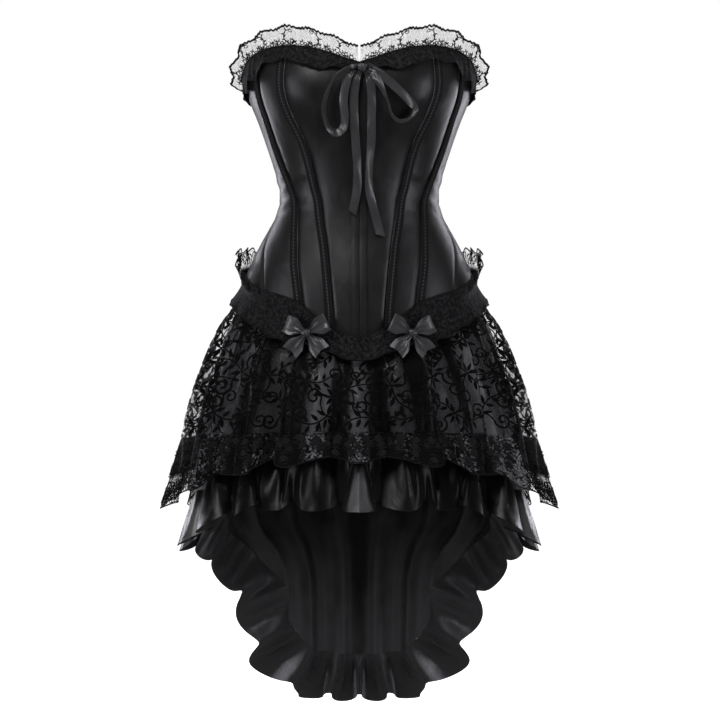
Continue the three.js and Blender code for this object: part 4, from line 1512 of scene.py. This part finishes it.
def gathered(surface, seam, depth_at, shape, start, end):
    """A gathered strip below a seam: it runs square to the seam and flares with its waves."""
    angle_at = even_angles(lambda a: seam_place(surface, seam, a), start, end)

    def place(u, v):
        angle = angle_at(u)
        along = unit(seam_place(surface, seam, angle + 0.5) - seam_place(surface, seam, angle - 0.5))
        spot = surface(angle, edge(seam, angle))
        out = unit(seam_place(surface, seam, angle) * [1, 1, 0])
        out = unit(out - along * np.sum(out * along, axis=-1, keepdims=True))
        down = -np.cross(along, out)
        down = np.where(down[:, 2:] > 0, -down, down)
        fall = 1 - v
        phase = shape["phase"](angle)
        wave = np.cos(phase) * shape["swing"](angle)
        reach = fall * depth_at(angle) * (1 + shape["lobe"] * np.cos(phase))
        fold = -FOLD_KEPT * fall * fold_out(angle, edge("hem", angle) - edge(seam, angle))
        hump = np.sin(np.pi * np.clip(fall * HUMP_REACH, 0, 1)) ** HUMP_FLATNESS
        gathers = shape["crease"](angle) * small_creases(phase) * hump
        bulge = freedom(seam, angle) * (shape["flare"] * reach + shape["wave"] * wave * fall) + gathers
        sway = shape["roll"] * np.sin(phase) * fall
        return spot + down * reach[:, None] + out * (fold + bulge)[:, None] + along * sway[:, None]

    place.angle_at = angle_at
    return place


# %% The overskirt's lace and the ruffle
LACE_DIP = 0.13
RUFFLE_DEPTH = 63.0
RUFFLE_FRONT_TO = 62
SEEN_INSIDE = 118


def over_lace_depth(angle):
    """How deep the overskirt's lace hangs: more on its ridges than in its grooves."""
    uneven = 1 + LACE_DIP * fold_wave(angle) * calm_back(angle)
    return (edge("over_seam", angle) - edge("over_edge", angle)) * uneven


def over_lace(start, end):
    return gathered(over_point, "over_seam", over_lace_depth, LACE_EDGE, start, end)


def ruffle(start, end):
    """A stretch of the ruffle, which also says how much painted light each of its points gets."""
    place = gathered(under_point, "under_seam", lambda angle: RUFFLE_DEPTH, RUFFLE_EDGE, start, end)
    seen = -1 if start >= SEEN_INSIDE else 1

    def ridges(u, v):
        """Painted light: 1 where a lobe stands out towards the front, and 0 between lobes and by the seam."""
        angle = place.angle_at(u)
        phase = ruffle_phase(angle)
        # Painted light on the lobes facing the front, painted shade on the rest.
        lobes = (0.5 + 0.5 * seen * np.cos(phase + 0.6)) * read(RUFFLE_SWING, "lit", angle)
        return lobes * (0.7 + 0.5 * small_creases(phase)) * (0.25 + 0.75 * ease(1.8 * (1 - v)))

    place.ridges = ridges
    return place


# %% [markdown]
# The overskirt's lace is dense with small rosettes at its top. On the front it stays so, and at the sides
# and behind it thins to loops over a net, which let the light through. It could be one picture of lace. The
# rosettes, loops and edge cord are cloth laid on it instead, so the edge is bumpy from any side.

# %% Overskirt lace
EDGE_CORD_COLUMNS = 200
EDGE_LOOP = gather_shapes([
    ring(0, 0, 5.0, 5.6, 0.9, 10),
    ring(0, 0.5, 2.0, 2.4, 0.8, 6),
    leaf(0, -2, 270, 4, 1.5),
    leaf(-1.6, 1.5, 140, 4, 1.3),
    leaf(1.6, 1.5, 40, 4, 1.3),
    stem([(-6, 5), (-3, 7), (0, 5.6), (3, 7), (6, 5)], 0.8),
])
ROSETTE = gather_shapes([
    blossom(0, 0, 6.5, 5),
    ring(0, 0, 4.6, 4.2, 1.1),
    leaf(-8, -3, 30, 6, 2.4),
    leaf(8, -3, 150, 6, 2.4),
    stem([(-8, 5), (-3, 7.5), (3, 7.5), (8, 5)], 1.2),
    stem([(-8, -6), (0, -8), (8, -6)], 1.2),
])


def edge_height(u):
    return 0.015 + 0.012 * np.sin(40 * u)


def lace_edge(name, place, side, sheer):
    """Trims of a stretch of the overskirt's lace. A sheer one has loops where a dense one has rosettes."""
    made = [edging(f"{name}_cord", place, edge_height, CORD_WIDTH, 0.9, EDGE_CORD_COLUMNS, CORD_YARN,
                   side)]
    rosettes = even_across(place, 0.78, 20, size=0.95, wander=0.05)
    rosettes += even_across(place, 0.58, 18, size=0.9, wander=0.06)
    if not sheer:
        rosettes += even_across(place, 0.3, 25, size=0.9, wander=0.12)
    made.append(applique(f"{name}_rosettes", place, ROSETTE, rosettes, 0.8, 0.6, ROSETTE_YARN, side,
                         low=0.45 if sheer else 0.01))
    if sheer:
        loops = even_across(place, 0.09, 11, flips=True) + even_across(place, 0.25, 12, turn=180)
        made.append(applique(f"{name}_loops", place, EDGE_LOOP, loops, 0.3, 0.5, CORD_YARN, side,
                             low=0.005, high=0.45))
    return made


lace_front = over_lace(-FRONT_TO, FRONT_TO)
lace_side = over_lace(FRONT_TO, SIDE_TO)
lace_back = over_lace(SIDE_TO, BACK_TO)
sew("overskirt_lace_front", lace_front, 180, 14, TRIM_LACE_PAINTED, "lace", "gathered", ["overskirt_front"],
    wall=LACE_WALL, trims=lace_edge("trim_front", lace_front, 1, False))
sew_pair("overskirt_lace_side", lace_side, 100, 20, TRIM_EDGE_LACE, "lace", "gathered",
         hangs_from=["overskirt_side_{side}"], wall=LACE_WALL,
         trims=lambda side, word: lace_edge(f"trim_side_{word}", lace_side, side, True))
sew("overskirt_lace_back", lace_back, 200, 20, TRIM_EDGE_LACE, "lace", "gathered", ["overskirt_back"],
    wall=LACE_WALL, trims=lace_edge("trim_back", lace_back, 1, True))
print("overskirt lace:", sizes_of("overskirt_lace_front"), "m")

# %% Ruffle
for part, start, end, columns, hung in (
    ("front", 0, RUFFLE_FRONT_TO, 100, "skirt_front"),
    ("side", RUFFLE_FRONT_TO, SEEN_INSIDE, 100, "skirt_side_{side}"),
    ("back", SEEN_INSIDE, 180, 120, "skirt_back_{side}"),
):
    sew_pair(f"ruffle_{part}", ruffle(start, end), columns, 18, RUFFLE_SATIN_PAINTED, "satin", "gathered",
             hangs_from=[hung], wall=SKIRT_CLOTH, inside=RUFFLE_WRONG_SIDE_PAINTED)
print("ruffle back:", sizes_of("ruffle_back_right"), "m")

# %% [markdown]
# The bows are satin ribbon, pinched into pleats where the knot holds it. A simulated ribbon would fall its
# own way, so each ribbon follows a listed path, turned edge-on where it loops. The knot is a short
# piece of the same ribbon wrapped round.

# %% The neck bow's ribbons
RIBBON_WIDTH = 11
RIBBON_TIED = 0.5
RIBBON_GATHER = 1.2
RIBBON_WALL = 0.4
SLANTED_END = 0.025
RIBBON_AHEAD = 0.05
# Each row gives a point's x and z, how far it stands off the corset, and the ribbon's turn about its path.
RIBBON_PATH = ("x", "z", "lift", "turn")
LEFT_LOOP = [
    (-2, 158.5, 11, 60), (-14, 152.5, 14.5, 66), (-26, 143, 14, 70), (-36, 122, 11.5, 70),
    (-39.5, 102, 10.5, 64), (-36, 84, 11, 50), (-27.5, 75, 10.5, 30), (-19, 81, 8, 22),
    (-17, 94, 7.5, 20), (-18, 116, 8.5, 18), (-13.5, 141, 11.5, 14), (-6, 152, 11.2, 10),
]
RIGHT_LOOP = [
    (9, 159.5, 11, 12), (24, 147, 13, 10), (41, 129, 13, 8), (54, 114, 13, 20),
    (61, 104, 12.5, 50), (57.5, 93.5, 9.5, 72), (46.5, 89.5, 8.5, 76), (37, 97, 9, 74),
    (29.5, 119, 11.5, 70), (18.5, 143, 15, 30), (9.8, 152, 13.5, 16),
]
LEFT_TAIL = [
    (0.8, 150.7, 8.8, 0), (-4, 138, 9.5, -4), (-6.3, 118, 6.5, -8), (-6.2, 92, 4, 10),
    (-4.2, 62, 4, -6), (-2.3, 34, 4.4, 12), (-3, 4, 4.8, 4), (-9, -27, 4, -6),
]
RIGHT_TAIL = [
    (7.5, 150.5, 8.6, 0), (12.5, 138, 9.5, -6), (14.5, 118, 6.5, 8), (14.7, 92, 4.4, -12),
    (14.3, 62, 4.6, 16), (12.2, 34, 5, 30), (12.4, 4, 5, 26), (19.5, -27, 4, 8), (27, -56, 3.6, -4),
]


# %% A ribbon along a path
def ribbon(rows, loop):
    """A ribbon along a path, pleated where it is tied: a loop at both ends, a tail at its top."""
    path = smooth_table(RIBBON_PATH, [(i, *row) for i, row in enumerate(rows)])
    last = len(rows) - 1

    def centre(s):
        z = read(path, "z", s)
        angle = np.degrees(np.arcsin(np.clip(read(path, "x", s) / body("half", z), -1, 1)))
        return body_point(angle, z, read(path, "lift", s))

    def place(u, v):
        s = v * last * (1 if loop else 1 - SLANTED_END * u)
        ahead = unit(centre(np.minimum(s + RIBBON_AHEAD, last)) - centre(np.maximum(s - RIBBON_AHEAD, 0)))
        out = np.array([0.0, -1.0, 0.0])
        side = unit(np.cross(ahead, out))
        turn = np.radians(read(path, "turn", s))[:, None]
        across = side * np.cos(turn) + out * np.sin(turn)
        free = ease((np.minimum(s, last - s) if loop else s) / RIBBON_GATHER)
        from_middle = (u - 0.5) * RIBBON_WIDTH * mix(RIBBON_TIED, 1, free)
        cup = 0.7 * (1 - (2 * u - 1) ** 2) * free + 0.9 * np.cos(5 * np.pi * u) * (1 - free)
        sway = 0.5 * np.sin(2.3 * s + 3 * u)
        return centre(s) + across * from_middle[:, None] + np.cross(across, ahead) * (cup + sway)[:, None]

    return place


for name, rows, loop, held in (
    ("neck_bow_loop_left", LEFT_LOOP, True, "folded"),
    ("neck_bow_loop_right", RIGHT_LOOP, True, "folded"),
    ("neck_bow_tail_left", LEFT_TAIL, False, "hung"),
    ("neck_bow_tail_right", RIGHT_TAIL, False, "hung"),
):
    sew(name, ribbon(rows, loop), 10, 120, RIBBON_SATIN, "ribbon", held, ["neck_bow_knot"], wall=RIBBON_WALL)
print("neck bow ribbon:", [sizes_of(name) for name in SEWN if name.startswith("neck_bow")], "m")

# %% Knots
NECK_KNOT = {"x": 3.5, "z": 156, "lift": 9.2, "size": 10, "depth": 10}
KNOT_PLEATS = 3
KNOT_SPREAD = 0.6


def wrap(size, depth):
    """A ribbon wrapped once round a bow's middle, across and round."""
    def place(u, v):
        turn = 2 * np.pi * v
        pleat = 0.35 * np.cos(2 * np.pi * KNOT_PLEATS * u) + 0.4 * np.sin(turn + 4 * u)
        swell = 1 - 0.3 * (2 * u - 1) ** 2
        x = (u - 0.5) * (size + KNOT_SPREAD)
        y = (depth / 2 + pleat) * swell * np.cos(turn)
        z = (size / 2 + pleat) * swell * np.sin(turn)
        return np.stack([x, y, z], axis=-1)

    return place


def turned(place, seat, facing=0, tilt=0):
    """A shape made round the origin, tilted, turned to face round the body and moved to its seat."""
    a = math.radians(facing)
    b = math.radians(-tilt)
    lean = np.array([[1, 0, 0], [0, math.cos(b), -math.sin(b)], [0, math.sin(b), math.cos(b)]])
    face = np.array([[math.cos(a), -math.sin(a), 0], [math.sin(a), math.cos(a), 0], [0, 0, 1]])
    return lambda u, v: place(u, v) @ (face @ lean).T + seat


def sew_bow(name, place, columns, rows, hung, pair=True):
    """A piece of a bow's ribbon."""
    if pair:
        sew_pair(name, place, columns, rows, RIBBON_SATIN, "ribbon", "folded", hangs_from=hung,
                 wall=RIBBON_WALL)
    else:
        sew(name, place, columns, rows, RIBBON_SATIN, "ribbon", "folded", hung, wall=RIBBON_WALL)


knot_angle = math.degrees(math.asin(NECK_KNOT["x"] / float(body("half", NECK_KNOT["z"]))))
neck_seat = body_point(np.float64(knot_angle), NECK_KNOT["z"], NECK_KNOT["lift"])
neck_knot = turned(wrap(NECK_KNOT["size"], NECK_KNOT["depth"]), neck_seat)
sew_bow("neck_bow_knot", neck_knot, 12, 24, ["corset_front_right", "corset_front_left"], pair=False)
print("neck knot:", sizes_of("neck_bow_knot"), "m")

# %% The hem bows
HEM_BOW = {
    "angle": 21.5, "drop": 6, "facing": 14, "tilt": 4, "lift": 11.4, "pinch": 7, "width": 23, "loop": 25,
    "tail": 28, "knot": 9, "knot_wrap": 9.8, "depth": 12.5,
}
# Each row gives a ribbon, the way that it points, and whether it is a loop.
HEM_RIBBONS = [
    ("loop_outer", 24, True),
    ("loop_inner", 152, True),
    ("tail_outer", 310, False),
    ("tail_inner", 228, False),
]
LOOP_ROWS = 36
TAIL_ROWS = 14


def bow_ribbon(angle, loop):
    """A tail runs out from the knot. A loop runs out in front, turns round and comes back behind."""
    lead = np.array([math.cos(math.radians(angle)), 0, math.sin(math.radians(angle))])
    across = np.array([-lead[2], 0, lead[0]])
    start = HEM_BOW["knot"] / 2 + 0.3
    length = HEM_BOW["loop"] if loop else HEM_BOW["tail"]

    def place(u, v):
        turn = np.pi * v
        share = np.sin(turn) if loop else v * (1 - 0.12 * (1 - np.abs(2 * u - 1)))
        width = mix(HEM_BOW["pinch"], HEM_BOW["width"], ease(1.6 * share))
        depth = -4.2 * np.cos(turn) * (0.35 + 0.65 * np.sin(turn)) if loop else -1 - 1.5 * v
        pleats = 1.1 * np.cos(5 * np.pi * u) * (1 - share) + 1.2 * np.cos(2 * np.pi * u + 0.6) * share
        flat = np.stack([0 * u, depth - pleats, 0 * u], axis=-1)
        return flat + lead * (start + length * share)[:, None] + across * ((u - 0.5) * width)[:, None]

    return place


def at_hem(place):
    """Puts a piece of a hem bow in its place on the corset's hem."""
    z = float(edge("hem", HEM_BOW["angle"])) - HEM_BOW["drop"]
    seat = body_point(np.float64(HEM_BOW["angle"]), z, HEM_BOW["lift"])
    return turned(place, seat, HEM_BOW["facing"], HEM_BOW["tilt"])


for name, angle, loop in HEM_RIBBONS:
    sew_bow(f"hem_bow_{name}", at_hem(bow_ribbon(angle, loop)), 16, LOOP_ROWS if loop else TAIL_ROWS,
            ["hem_bow_knot_{side}"])
hem_knot = at_hem(wrap(HEM_BOW["knot_wrap"], HEM_BOW["depth"]))
sew_bow("hem_bow_knot", hem_knot, 12, 24, ["hem_lace_front_{side}"])
print("bows: sewn pieces in all", len(SEWN))
